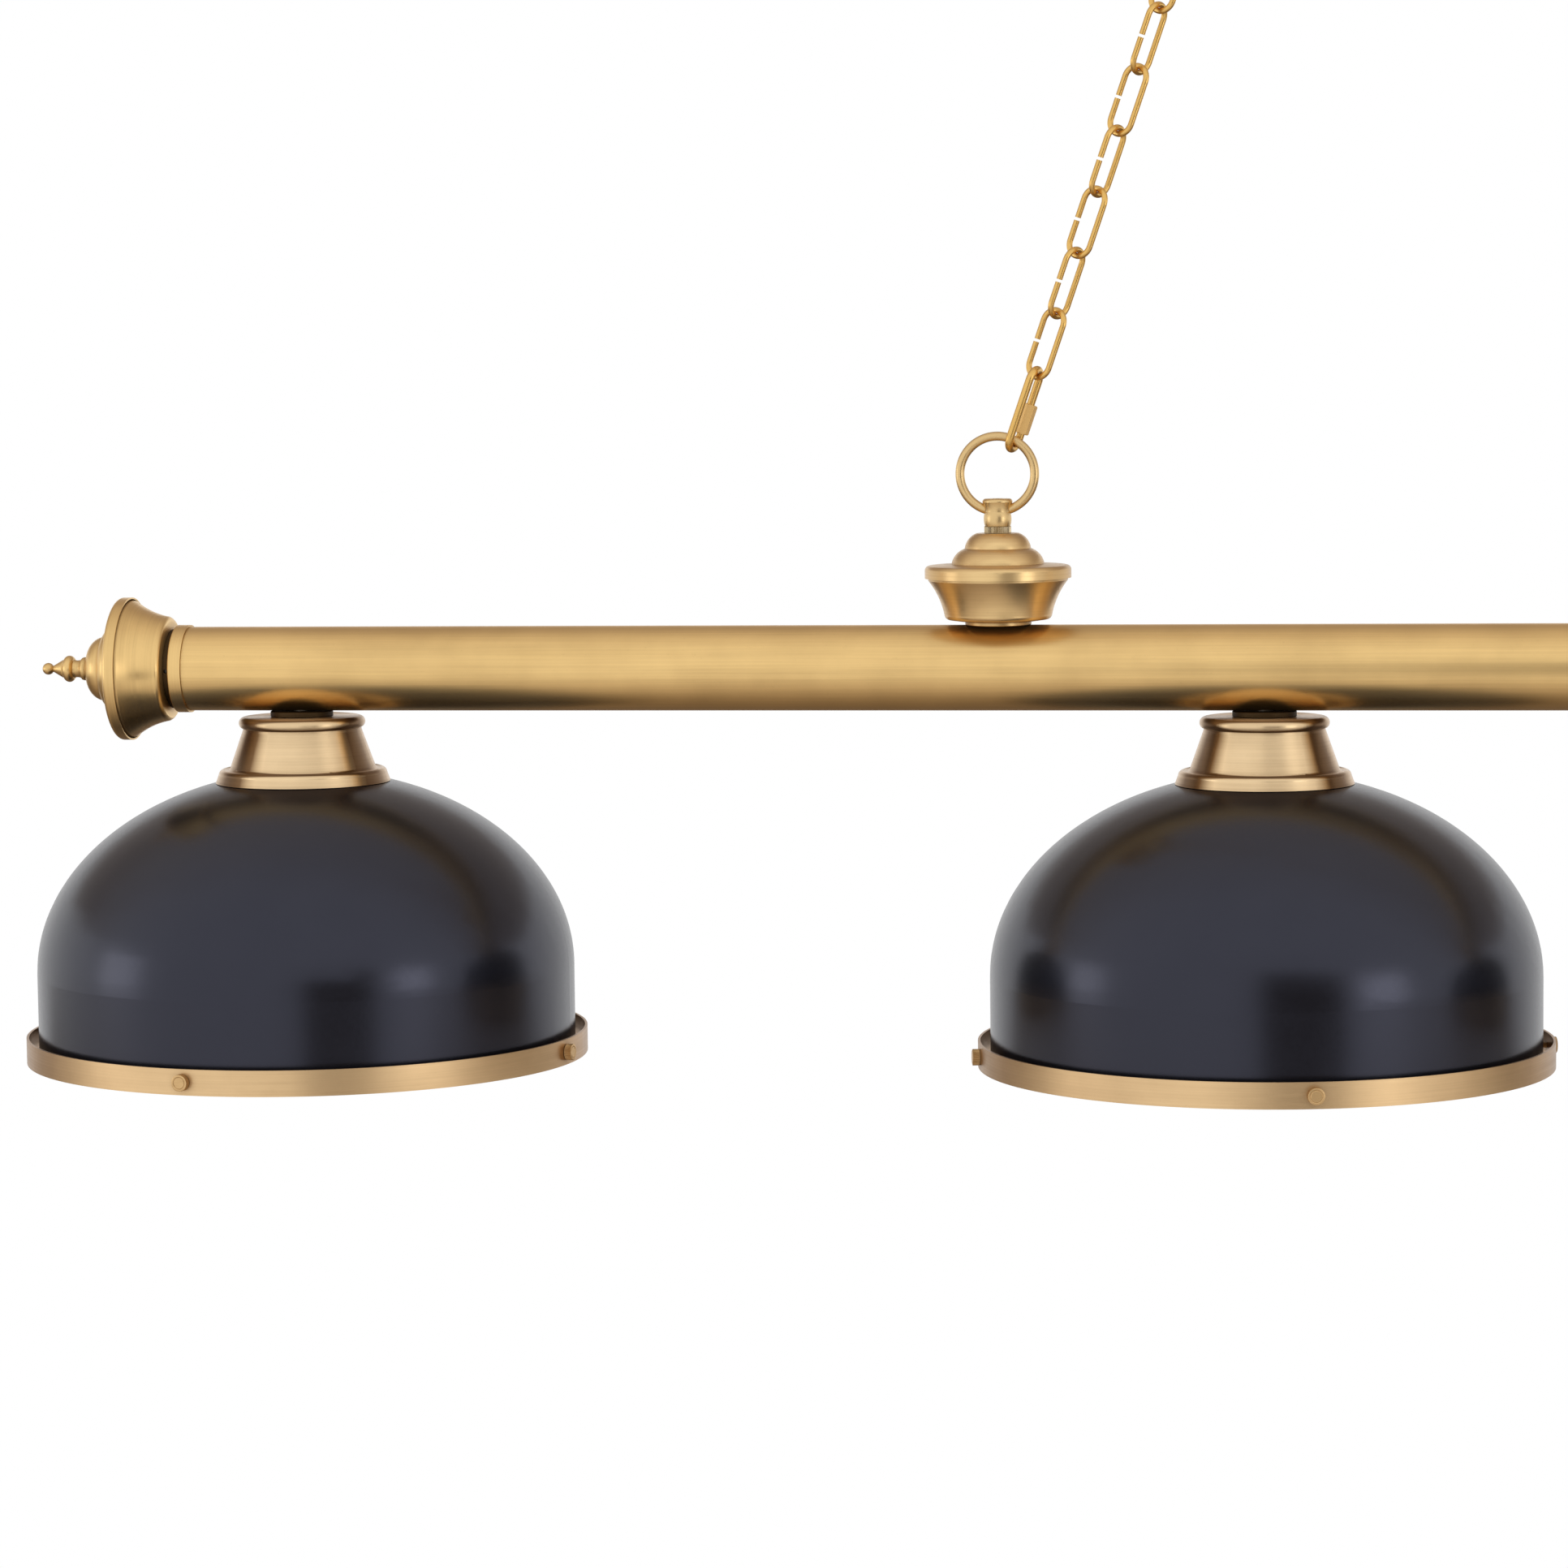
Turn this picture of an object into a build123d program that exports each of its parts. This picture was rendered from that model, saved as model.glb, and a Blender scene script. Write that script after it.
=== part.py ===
"""Four-shade pool table lamp: a brass bar with dome shades, hung by two chains from one canopy.

Frame: millimetres, +Z up, X along the bar, the front of the lamp faces -Y.
The origin is the middle of the ceiling plate, on the ceiling. Pieces of the lamp itself are
drawn about the axis of the bar and lowered together.
"""
from build123d import *
import math
import os

# ---- driving sizes -------------------------------------------------------------------------
FIT = 0.05            # radial clearance of a screwed or sliding fit
SEAT = 0.1            # gap left where two pieces bear on each other
LINK_GAP = 0.15       # gap left where two links bear on each other
SHEET = 1.0           # wall of the spun brass and steel pieces
PAST = 1.0            # how far a drill runs past the faces it goes through
BEVEL = 0.35          # broken edge of a turned ring

SHADE_COUNT = 4
SHADE_PITCH = 608.0
HANGER_SPAN = 936.0   # between the two hangers
BAR_OVERHANG = 71.5   # bar beyond the axis of the outermost shade

BAR_R = 26.6
BAR_WALL = 1.5

NIPPLE_R = 5.0        # threaded lamp pipe
NIPPLE_WALL = 1.6
NUT_R = 9.0
NUT_THICK = 4.0
NIPPLE_PAST_NUT = 2.0 # pipe beyond its locknut
HANGER_WASHER_R = 20.5
HANGER_WASHER = 2.3   # thickness
SHADE_WASHER_R = 19.8
SHADE_WASHER = 3.4    # thickness

# cast loop and its check ring
LOOP_R = 23.15        # to the middle of the wire
LOOP_WIRE_R = 2.8
COLLAR_R = 7.9        # at its foot and at its waist
COLLAR_BULGE = 0.7    # swell of the barrel between them
COLLAR_HEAD_R = 9.3
COLLAR_BARREL = 8.7   # height of the waist above the foot
COLLAR_BELOW = 32.2   # collar's foot below the middle of the loop
COLLAR_TOP = 15.3     # collar's top below the middle of the loop
COLLAR_THREAD = 9.0   # depth of the nipple in the collar
CHECK_R = 8.3
CHECK_THICK = 4.2

# stepped cap and flared cup, used at the hangers and at the bar's ends
CAP_R = 45.3
CAP_HEIGHT = 27.6
CAP_RIM = 6.6         # height of the turned-down rim
CAP_BRIM = 1.2        # the brim's shoulder above the rim
CAP_TOP_R = 13.2
CAP_LEDGE = 10.0      # ledge between the steps, below the top
CAP_STEP_R = 20.5     # foot of the upper step
CAP_DOME_R = 28.7     # foot of the lower step
CUP_IN_CAP_GAP = 0.7  # between the cup's rim and the inside of the cap
CUP_FOOT_R = 32.85
CUP_FLAT_R = 24.0     # flat seat in the foot
CUP_HEIGHT = 29.6
CUP_FLARE = 25.2      # height at which the flare ends
CUP_IN_CAP = 3.0      # the cup's rim stands this far up inside the cap

# end fittings
END_COLLAR_LENGTH = 8.4
END_COLLAR_PROUD = 1.2  # collar beyond the surface of the bar
END_COLLAR_ROUND = 1.0
NECK_STEP = 1.6       # neck inside the surface of the bar
NECK_LENGTH = 3.2
PLUG_LENGTH = 18.0
ROD_R = 3.0
ROD_PAST_PLUG = 4.0   # rod beyond the plug's inner end
FINIAL_LENGTH = 31.7
FINIAL_FOOT_R = 7.0
FINIAL_FOOT = 5.2     # height of the foot
FINIAL_BEAD_R = 8.4
FINIAL_BEAD_Z = 14.2  # widest part of the bead
FINIAL_BEAD = 2.8     # from there to the bead's top
FINIAL_CONE_R = 5.6   # foot of the cone under the ball
FINIAL_BALL_R = 3.75
FINIAL_THREAD = 15.0   # depth of the rod in the finial
SET_SCREW_R = 1.2
SET_SCREW_SUNK = 2.0  # screw's end below the neck's surface

# shade
DOME_R = 170.0
DOME_HEIGHT = 125.2   # of the elliptical part
DOME_SKIRT = 52.9     # straight part below it
FITTER_BEAD_R = 39.9
FITTER_BEAD = 7.3     # height of the bead
FITTER_HEIGHT = 41.4
FITTER_CONE_TOP_R = 37.7
FITTER_CONE_FOOT_R = 45.9
FITTER_BAND = 8.4
FITTER_BAND_TOP_R = 52.4
FITTER_FOOT_R = 55.2
RING_GAP = 6.2        # between the dome and its trim ring
RING_WALL = 1.6
RING_HEIGHT = 16.0
RING_BELOW_RIM = 2.8  # trim ring's foot below the dome's rim
SCREWS_PER_SHADE = 4
SCREW_HEAD_R = 5.1
SCREW_HEAD = 4.4
SCREW_SHANK_R = 1.9
SCREW_TIP = 4.0       # shank beyond the dome's wall
SCREW_BEVEL = 0.5
SCREW_TURN_ODD = -11.2  # first screw from the front, degrees, on the first and third shade
SCREW_TURN_EVEN = 12.4  # the same on the second and fourth

# lamp socket and bulb
SOCKET_PLAY = 0.3     # round the bulb's base
SOCKET_WALL = 5.6
SOCKET_TOP = 7.0      # closed end
SOCKET_NIPPLE = 6.0   # depth of the nipple in the closed end
SOCKET_FLANGE_LIP = 5.0  # flange beyond the socket's wall
SOCKET_FLANGE = 3.0
SHADE_RING_LIP = 6.0
SHADE_RING_THICK = 5.0
BULB_BASE_R = 13.1
BULB_BASE = 25.0
BULB_R = 30.0
BULB_LENGTH = 106.0
BULB_NECK = 14.0      # tapered stretch below the base
BULB_NECK_FLARE = 2.0 # how much it widens
BULB_SHOULDER = 7.8   # shoulder inside the globe's radius
BULB_SHOULDER_RISE = 4.0  # shoulder above halfway from the globe's middle to the neck
BULB_WALL = 1.2
BULB_CONTACT_R = 5.0
BULB_CONTACT = 2.5    # height of the cone up to the contact
BULB_PLAY = 0.3       # contact below the socket's closed end

# chain
CHAIN_WIRE_R = 1.85
CHAIN_LENGTH = 46.6   # outside of one link
CHAIN_WIDTH = 19.7
CHAIN_COUNT = 33
CHAIN_SEAM = 1.8      # gap in the side of each link
CHAIN_TURN = 45.0     # links about the chain, to one side and the other, degrees
CHAIN_SET = 11.0      # turn of the lowest pair of links as a whole, degrees
CHAIN_INSIDE = 3.2    # the chain's line passes the middle of its hanger's loop by this much
QUICK_WIRE_R = 2.5
QUICK_LENGTH = 56.0
QUICK_WIDTH = 19.0
QUICK_TURN = 18.0     # quick link about the chain, degrees
GATE_GAP = 6.0
GATE_LOW = -10.6      # gate's opening starts here, from the link's middle
SLEEVE_WALL = 2.2     # at the corners of the hexagon
SLEEVE_BEVEL = 0.6
SLEEVE_LENGTH = 18.8
SLEEVE_LAP = 4.5      # sleeve below the opening

# ceiling fittings
CANOPY_R = 62.5
CANOPY_DEPTH = 30.0
CANOPY_FLAT_R = 14.0  # flat round the nipple
CANOPY_STEP_R = 46.5  # top of the bowl, where the step begins
CANOPY_BOWL = 18.0    # height of the bowl
CANOPY_BULGE = 8.0     # bowl outside the straight line to its foot
CANOPY_SLOPE = 1.8     # rise of the ledge round the bowl
CANOPY_ROLL = 4.0      # rolled corner of the rim
STRAP_LENGTH = 104.0
STRAP_WIDTH = 20.0
STRAP_THICK = 2.5
STRAP_SCREW_SPACING = 88.9
STRAP_SCREW_HOLE_R = 2.4

# wiring inside the bar
LEAD_R = 2.4
LEAD_DROP_R = 2.2
LEAD_BEND = 5.0
LEAD_SIDE = 35.0      # where the trunk lies round the bar, degrees from its lowest line
LEAD_SPARE = 30.0     # trunk beyond each outermost shade
LEAD_BRANCH = 34.0    # each drop leaves the trunk this far from its shade's axis
LEAD_HUMP = 12.0      # top of a drop above the trunk
LEAD_FOOT = 1.0       # end of a drop above the socket's bore

os.makedirs("parts", exist_ok=True)


# ---- helpers -------------------------------------------------------------------------------
def turned(*points):
    """A solid of revolution about Z from (radius, height) corners."""
    corners = [(r, 0, z) for r, z in points]
    return revolve(make_face(Polyline(*corners, close=True)), Axis.Z)


def rod(radius, low, high):
    """An upright cylinder between two heights."""
    return Pos(0, 0, low) * extrude(Circle(radius), high - low)


def drill(radius, low, high):
    """What a drill takes away on its way through from one height to another."""
    return rod(radius, low - PAST, high + PAST)


def spun(edges):
    """A solid of revolution about Z from the closed outline made by some edges."""
    return revolve(make_face(edges), Axis.Z)


def arc(start, middle, end):
    """An arc through three (radius, height) points."""
    return ThreePointArc(*[(r, 0, z) for r, z in (start, middle, end)])


def line(start, end):
    """A straight edge between two (radius, height) points."""
    return Line((start[0], 0, start[1]), (end[0], 0, end[1]))


def group(pieces):
    """Several separate solids in one node."""
    return Compound(children=[solid for piece in pieces for solid in piece.solids()])


def opposite(piece):
    """The same piece on the other side of the lamp's middle."""
    return mirror(piece, about=Plane.YZ)


def save(node, piece):
    """Write one node."""
    export_step(piece, f"parts/{node}.step")


def save_pair(node, left):
    """Write the left piece and its mirror image as two nodes."""
    save(node + "_left", left)
    save(node + "_right", opposite(left))


# ---- sizes and places worked out from those above ---------------------------------------------
def dome_fall(radius, inset=0.0):
    """How far the dome's elliptical wall falls from its apex at a radius."""
    share = radius / (DOME_R - inset)
    return (DOME_HEIGHT - inset) * (1 - math.sqrt(1 - share * share))


def rides_on(radius, other_radius, gap=LINK_GAP):
    """Distance between the middles of two wires that bear on each other."""
    return radius + other_radius + gap


WIRE_HOLE_R = NIPPLE_R - NIPPLE_WALL
BAR_INSIDE = BAR_R - BAR_WALL
CUP_RIM_R = CAP_R - SHEET - CUP_IN_CAP_GAP
NECK_R = BAR_R - NECK_STEP
END_COLLAR_R = BAR_R + END_COLLAR_PROUD
RING_R = DOME_R + RING_GAP + RING_WALL
SOCKET_BORE_R = BULB_BASE_R + SOCKET_PLAY
SOCKET_R = SOCKET_BORE_R + SOCKET_WALL
SLEEVE_R = QUICK_WIRE_R + SLEEVE_WALL

QUICK_SPAN = QUICK_LENGTH - 2 * QUICK_WIRE_R      # between the middles of the end wires
CHAIN_SPAN = CHAIN_LENGTH - 2 * CHAIN_WIRE_R
CHAIN_STEP = CHAIN_SPAN - rides_on(CHAIN_WIRE_R, CHAIN_WIRE_R)
HIGH_QUICK_END = LOOP_R - rides_on(LOOP_WIRE_R, QUICK_WIRE_R)
LOW_QUICK_START = math.sqrt(HIGH_QUICK_END ** 2 - CHAIN_INSIDE ** 2)
CHAIN_START = LOW_QUICK_START + QUICK_SPAN - rides_on(QUICK_WIRE_R, CHAIN_WIRE_R)
CHAIN_END = CHAIN_START + CHAIN_SPAN + (CHAIN_COUNT - 1) * CHAIN_STEP
HIGH_QUICK_START = CHAIN_END - rides_on(QUICK_WIRE_R, CHAIN_WIRE_R)
CHAIN_REACH = math.hypot(HIGH_QUICK_START + QUICK_SPAN + HIGH_QUICK_END, CHAIN_INSIDE)
LOOPS_LEAN = math.asin(HANGER_SPAN / 2 / CHAIN_REACH)      # from loop middle to loop middle
CHAIN_RISE = CHAIN_REACH * math.cos(LOOPS_LEAN)
LEAN = math.degrees(LOOPS_LEAN - math.asin(CHAIN_INSIDE / CHAIN_REACH))

CHECK_TOP = -CANOPY_DEPTH - SEAT
CANOPY_LOOP_Z = CHECK_TOP - CHECK_THICK - SEAT - COLLAR_BELOW
LOW_LOOP_Z = CANOPY_LOOP_Z - CHAIN_RISE

WASHER_FOOT = BAR_R + SEAT                         # these heights are above the bar's axis
CUP_FOOT = WASHER_FOOT + HANGER_WASHER + SEAT
CAP_FOOT = CUP_FOOT + CUP_HEIGHT - CUP_IN_CAP
CAP_TOP = CAP_FOOT + CAP_HEIGHT
HANGER_CHECK = CAP_TOP + SEAT
HANGER_LOOP = HANGER_CHECK + CHECK_THICK + SEAT + COLLAR_BELOW
BAR_Z = LOW_LOOP_Z - HANGER_LOOP

SHADE_X = [(i - (SHADE_COUNT - 1) / 2) * SHADE_PITCH for i in range(SHADE_COUNT)]
HANGER_X = HANGER_SPAN / 2
NUT_SEAT = math.sqrt(BAR_INSIDE ** 2 - (NUT_R * math.cos(math.pi / 6)) ** 2) - SEAT
BAR_HALF = SHADE_X[-1] + BAR_OVERHANG
FITTER_TOP = -BAR_R - SEAT - SHADE_WASHER - SEAT
FITTER_FOOT = FITTER_TOP - FITTER_HEIGHT
DOME_TOP = FITTER_FOOT - SEAT + dome_fall(FITTER_FOOT_R - SHEET)
DOME_SHOULDER = DOME_TOP - DOME_HEIGHT
DOME_RIM = DOME_SHOULDER - DOME_SKIRT
RING_FOOT = DOME_RIM - RING_BELOW_RIM


def dome_z(radius, inset=0.0):
    """Height of the dome's elliptical wall at a radius; inset measures its inner face."""
    return DOME_TOP - inset - dome_fall(radius, inset)


# ---- cast loop, check ring, cap and cup ------------------------------------------------------
def cast_loop():
    """Ring on a collar; the middle of the ring is the origin and the collar points down."""
    foot = -COLLAR_BELOW
    top = -COLLAR_TOP
    waist = foot + COLLAR_BARREL
    barrel = COLLAR_R
    head = COLLAR_HEAD_R
    outline = [
        line((0, foot), (barrel, foot)),
        arc((barrel, foot), (barrel + COLLAR_BULGE, (foot + waist) / 2), (barrel, waist)),
        arc((barrel, waist), (barrel + 0.5, waist + (top - waist) * 0.4), (head, top - 2.2)),
        arc((head, top - 2.2), (head - 0.5, top - 0.6), (head - 1.6, top)),
        line((head - 1.6, top), (0, top)),
        line((0, top), (0, foot)),
    ]
    ring = Rot(90, 0, 0) * Torus(LOOP_R, LOOP_WIRE_R)
    thread = rod(NIPPLE_R + FIT, foot - PAST, foot + COLLAR_THREAD)
    return spun(outline) + ring - drill(WIRE_HOLE_R, foot, top) - thread


def flat_ring(radius, thickness):
    """Flat ring on a nipple, such as a check ring or a washer, standing on its origin."""
    body = rod(radius, 0, thickness) - drill(NIPPLE_R + FIT, 0, thickness)
    return chamfer(body.edges().filter_by(GeomType.CIRCLE).group_by(SortBy.RADIUS)[-1], BEVEL)


def stepped_cap():
    """Spun cap with two steps and a turned-down rim; its rim stands on its origin."""
    bore = NIPPLE_R + FIT

    def outline(inset):
        """Edges of one face of the sheet, from the middle to the rim."""
        high = CAP_HEIGHT - inset
        ledge = high - CAP_LEDGE
        brim = CAP_RIM + CAP_BRIM - inset
        flat = brim + 1.0
        top = CAP_TOP_R - inset
        step = CAP_STEP_R - inset
        dome_foot = CAP_DOME_R - inset
        rim = CAP_R - inset
        return [
            line((bore, high), (top, high)),
            arc((top, high), (step - 2.4, high - 3.6), (step, ledge + 0.6)),
            line((step, ledge + 0.6), (step + 1.4, ledge)),
            arc((step + 1.4, ledge), (dome_foot - 2.0, ledge - 4.0), (dome_foot, flat)),
            line((dome_foot, flat), (rim - 3.0, brim)),
            arc((rim - 3.0, brim), (rim - 0.8, brim - 0.9), (rim, brim - 3.2)),
            line((rim, brim - 3.2), (rim, 0)),
        ]

    ends = [
        line((CAP_R - SHEET, 0), (CAP_R, 0)),
        line((bore, CAP_HEIGHT - SHEET), (bore, CAP_HEIGHT)),
    ]
    return spun(outline(0) + outline(SHEET) + ends)


def flared_cup():
    """Spun cup that widens upwards; its foot stands on its origin."""
    bore = NIPPLE_R + FIT

    def outline(inset):
        """Edges of one face of the sheet, from the middle to the rim."""
        foot = inset
        flat = CUP_FLAT_R - inset
        wall = CUP_FOOT_R - inset
        rim = CUP_RIM_R - inset
        corner = (wall + 0.5, foot + 4.0)
        flare = (rim - 0.4, CUP_FLARE)
        return [
            line((bore, foot), (flat, foot)),
            line((flat, foot), (wall - 1.8, foot + 1.0)),
            arc((wall - 1.8, foot + 1.0), (wall - 0.2, foot + 2.1), corner),
            arc(corner, (wall + 3.3, foot + 0.52 * CUP_FLARE), flare),
            line(flare, (rim, CUP_HEIGHT)),
        ]

    ends = [
        line((CUP_RIM_R - SHEET, CUP_HEIGHT), (CUP_RIM_R, CUP_HEIGHT)),
        line((bore, 0), (bore, SHEET)),
    ]
    return spun(outline(0) + outline(SHEET) + ends)


def nipple(low, high):
    """Hollow threaded pipe between two heights."""
    return rod(NIPPLE_R, low, high) - drill(WIRE_HOLE_R, low, high)


def lock_nut():
    """Hexagon nut for the nipple, standing on its origin."""
    body = extrude(RegularPolygon(NUT_R, 6), NUT_THICK)
    return body - drill(NIPPLE_R + FIT, 0, NUT_THICK)


# ---- bar and its end fittings ------------------------------------------------------------------
def main_tube():
    """Bar with a hole for every nipple."""
    bar = rod(BAR_R, -BAR_HALF, BAR_HALF) - drill(BAR_INSIDE, -BAR_HALF, BAR_HALF)
    bar = Rot(0, 90, 0) * bar
    for x in SHADE_X:
        bar -= Pos(x, 0, 0) * rod(NIPPLE_R + FIT, -2 * BAR_R, 0)
    for x in (-HANGER_X, HANGER_X):
        bar -= Pos(x, 0, 0) * rod(NIPPLE_R + FIT, 0, 2 * BAR_R)
    return bar


def on_end(piece, distance=0.0):
    """Lay an upright piece down on the left end of the bar, facing outwards."""
    return Pos(-BAR_HALF - distance, 0, 0) * Rot(0, -90, 0) * piece


END_NECK = END_COLLAR_LENGTH + SEAT
END_CUP = END_NECK + NECK_LENGTH + SEAT
END_CAP = END_CUP + CUP_HEIGHT - CUP_IN_CAP
END_TOP = END_CAP + CAP_HEIGHT


def end_plug():
    """Turned plug: a spigot in the bar, a shoulder inside the collar and a neck beyond it."""
    body = turned(
        (0, -PLUG_LENGTH), (BAR_INSIDE - FIT, -PLUG_LENGTH), (BAR_INSIDE - FIT, SEAT),
        (NECK_R, SEAT), (NECK_R, END_NECK + NECK_LENGTH), (0, END_NECK + NECK_LENGTH),
    )
    return body - drill(ROD_R + FIT, -PLUG_LENGTH, END_CUP)


def in_neck(upright):
    """Copies of an upright piece laid outwards in the neck, front and back."""
    height = END_NECK + NECK_LENGTH / 2
    return [Pos(0, 0, height) * Rot(0, 0, turn) * Rot(90, 0, 0) * upright for turn in (0, 180)]


def plug_with_screw_holes():
    """The plug, drilled front and back for the set screws that hold the rod."""
    body = end_plug()
    for hole in in_neck(rod(SET_SCREW_R + FIT, 0, NECK_R + PAST)):
        body -= hole
    return body


def end_collar():
    """Ring that closes the end of the bar, with a rounded outer corner."""
    outer = rod(END_COLLAR_R, 0, END_COLLAR_LENGTH)
    outer = fillet(outer.edges().group_by(Axis.Z)[-1], END_COLLAR_ROUND)
    return outer - drill(NECK_R + FIT, 0, END_COLLAR_LENGTH)


def set_screws():
    """Two grub screws that hold one rod in its plug."""
    return in_neck(rod(SET_SCREW_R, ROD_R + SEAT, NECK_R - SET_SCREW_SUNK))


def finial():
    """Turned finial on a threaded rod, standing on its origin."""
    foot = FINIAL_FOOT_R
    stem = FINIAL_FOOT_R - 1.2
    bead = FINIAL_BEAD_R
    bead_low = FINIAL_BEAD_Z - 3.6
    bead_top = FINIAL_BEAD_Z + FINIAL_BEAD
    cone = FINIAL_CONE_R
    cone_low = bead_top + 1.2
    neck = 1.4
    ball_z = FINIAL_LENGTH - FINIAL_BALL_R
    neck_z = ball_z - FINIAL_BALL_R * 2 / 3
    edges = [
        line((0, 0), (foot, 0)),
        line((foot, 0), (foot, 2.0)),
        arc((foot, 2.0), (foot + 0.4, 3.6), (foot, FINIAL_FOOT)),
        line((foot, FINIAL_FOOT), (stem + 0.4, FINIAL_FOOT + 0.6)),
        arc((stem + 0.4, FINIAL_FOOT + 0.6), (stem - 0.4, bead_low - 2.4), (stem, bead_low)),
        arc((stem, bead_low), (bead, FINIAL_BEAD_Z), (bead - 2.0, bead_top)),
        line((bead - 2.0, bead_top), (cone, bead_top + 0.4)),
        line((cone, bead_top + 0.4), (cone, cone_low)),
        line((cone, cone_low), (neck, neck_z)),
        line((neck, neck_z), (neck, ball_z)),
        line((neck, ball_z), (0, ball_z)),
        line((0, ball_z), (0, 0)),
    ]
    body = spun(edges) + Pos(0, 0, ball_z) * Sphere(FINIAL_BALL_R)
    return body - rod(ROD_R + FIT, -PAST, FINIAL_THREAD)


# ---- shade -----------------------------------------------------------------------------------
def fitter():
    """Spun fitter: a rounded bead, a cone and a flared band over the dome's shoulder."""
    bore = NIPPLE_R + FIT
    top = FITTER_TOP
    bead = FITTER_BEAD_R
    bead_low = top - FITTER_BEAD
    groove = bead_low - 1.6
    cone_top = FITTER_CONE_TOP_R
    cone_foot = FITTER_CONE_FOOT_R
    band = FITTER_FOOT + FITTER_BAND
    flare = FITTER_BAND_TOP_R
    skirt = FITTER_FOOT_R
    edges = [
        line((bore, top), (bead - 4.0, top)),
        arc((bead - 4.0, top), (bead, top - 3.0), (bead - 2.6, bead_low)),
        line((bead - 2.6, bead_low), (cone_top, groove)),
        line((cone_top, groove), (cone_foot, band + 1.0)),
        arc((cone_foot, band + 1.0), (cone_foot + 1.0, band - 0.1), (flare - 2.2, band)),
        arc((flare - 2.2, band), (flare - 0.2, band - 0.9), (flare + 0.8, band - 3.0)),
        line((flare + 0.8, band - 3.0), (skirt, FITTER_FOOT)),
        line((skirt, FITTER_FOOT), (skirt - SHEET, FITTER_FOOT)),
        line((skirt - SHEET, FITTER_FOOT), (flare - SHEET, band - 2 * SHEET)),
        line((flare - SHEET, band - 2 * SHEET), (cone_foot - SHEET, band - SHEET)),
        line((cone_foot - SHEET, band - SHEET), (cone_top - 2 * SHEET, groove)),
        line((cone_top - 2 * SHEET, groove), (cone_top - 2 * SHEET, top - SHEET)),
        line((cone_top - 2 * SHEET, top - SHEET), (bore, top - SHEET)),
        line((bore, top - SHEET), (bore, top)),
    ]
    return spun(edges)


def dome_wall(inset):
    """Edges of one face of the dome's wall, from its hole to its rim."""
    hole = SOCKET_R + FIT
    wall = DOME_R - inset
    start = (hole, dome_z(hole, inset))
    shoulder = (wall, DOME_SHOULDER)
    degrees = math.degrees(math.acos(hole / wall))
    curve = EllipticalCenterArc((0, DOME_SHOULDER), wall, DOME_HEIGHT - inset, 0, arc_size=degrees)
    return [Plane.XZ * curve, line(shoulder, (wall, DOME_RIM))], start


def dome(turn):
    """Spun dome with a hole for the socket and threaded holes for the thumb screws."""
    outer, outer_start = dome_wall(0)
    inner, inner_start = dome_wall(SHEET)
    rim = line((DOME_R - SHEET, DOME_RIM), (DOME_R, DOME_RIM))
    body = spun(outer + inner + [rim, line(inner_start, outer_start)])
    for hole in screw_places(turn, drill(SCREW_SHANK_R + FIT, DOME_R - SHEET, DOME_R)):
        body -= hole
    return body


def screw_places(turn, upright):
    """Copies of an upright piece laid outwards where the thumb screws of one shade go."""
    height = RING_FOOT + RING_HEIGHT / 2
    step = 360 / SCREWS_PER_SHADE
    return [Pos(0, 0, height) * Rot(0, 0, turn + i * step) * Rot(90, 0, 0) * upright
            for i in range(SCREWS_PER_SHADE)]


def trim_ring(turn):
    """Brass band round the dome's rim, drilled for the thumb screws."""
    band = rod(RING_R, RING_FOOT, RING_FOOT + RING_HEIGHT)
    band -= drill(RING_R - RING_WALL, RING_FOOT, RING_FOOT + RING_HEIGHT)
    for hole in screw_places(turn, drill(SCREW_SHANK_R + FIT, RING_R - RING_WALL, RING_R)):
        band -= hole
    return band


def thumb_screws(turn):
    """The thumb screws of one shade."""
    face = RING_R + SEAT
    shank = rod(SCREW_SHANK_R, DOME_R - SHEET - SCREW_TIP, face + SCREW_HEAD / 2)
    head = rod(SCREW_HEAD_R, face, face + SCREW_HEAD)
    head = chamfer(head.edges().group_by(Axis.Z)[-1], SCREW_BEVEL)
    return screw_places(turn, shank + head)


SOCKET_HEAD = DOME_TOP + SEAT + SOCKET_FLANGE + SOCKET_TOP
SOCKET_END = SOCKET_HEAD - SOCKET_TOP     # top of the socket's bore
SOCKET_FOOT = SOCKET_END - BULB_BASE


def socket():
    """Lamp socket with a flange that bears on the dome."""
    flange = DOME_TOP + SEAT
    body = rod(SOCKET_R, SOCKET_FOOT, SOCKET_HEAD)
    body += rod(SOCKET_R + SOCKET_FLANGE_LIP, flange, flange + SOCKET_FLANGE)
    body -= rod(SOCKET_BORE_R, SOCKET_FOOT - PAST, SOCKET_END)
    return body - drill(NIPPLE_R + FIT, SOCKET_END, SOCKET_HEAD)


def shade_ring():
    """Threaded ring that clamps the dome against the socket's flange."""
    radius = SOCKET_R + SHADE_RING_LIP
    top = dome_z(radius, SHEET) - SEAT
    foot = top - SHADE_RING_THICK
    return rod(radius, foot, top) - drill(SOCKET_R + FIT, foot, top)


BULB_TOP = SOCKET_END - BULB_PLAY


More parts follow.
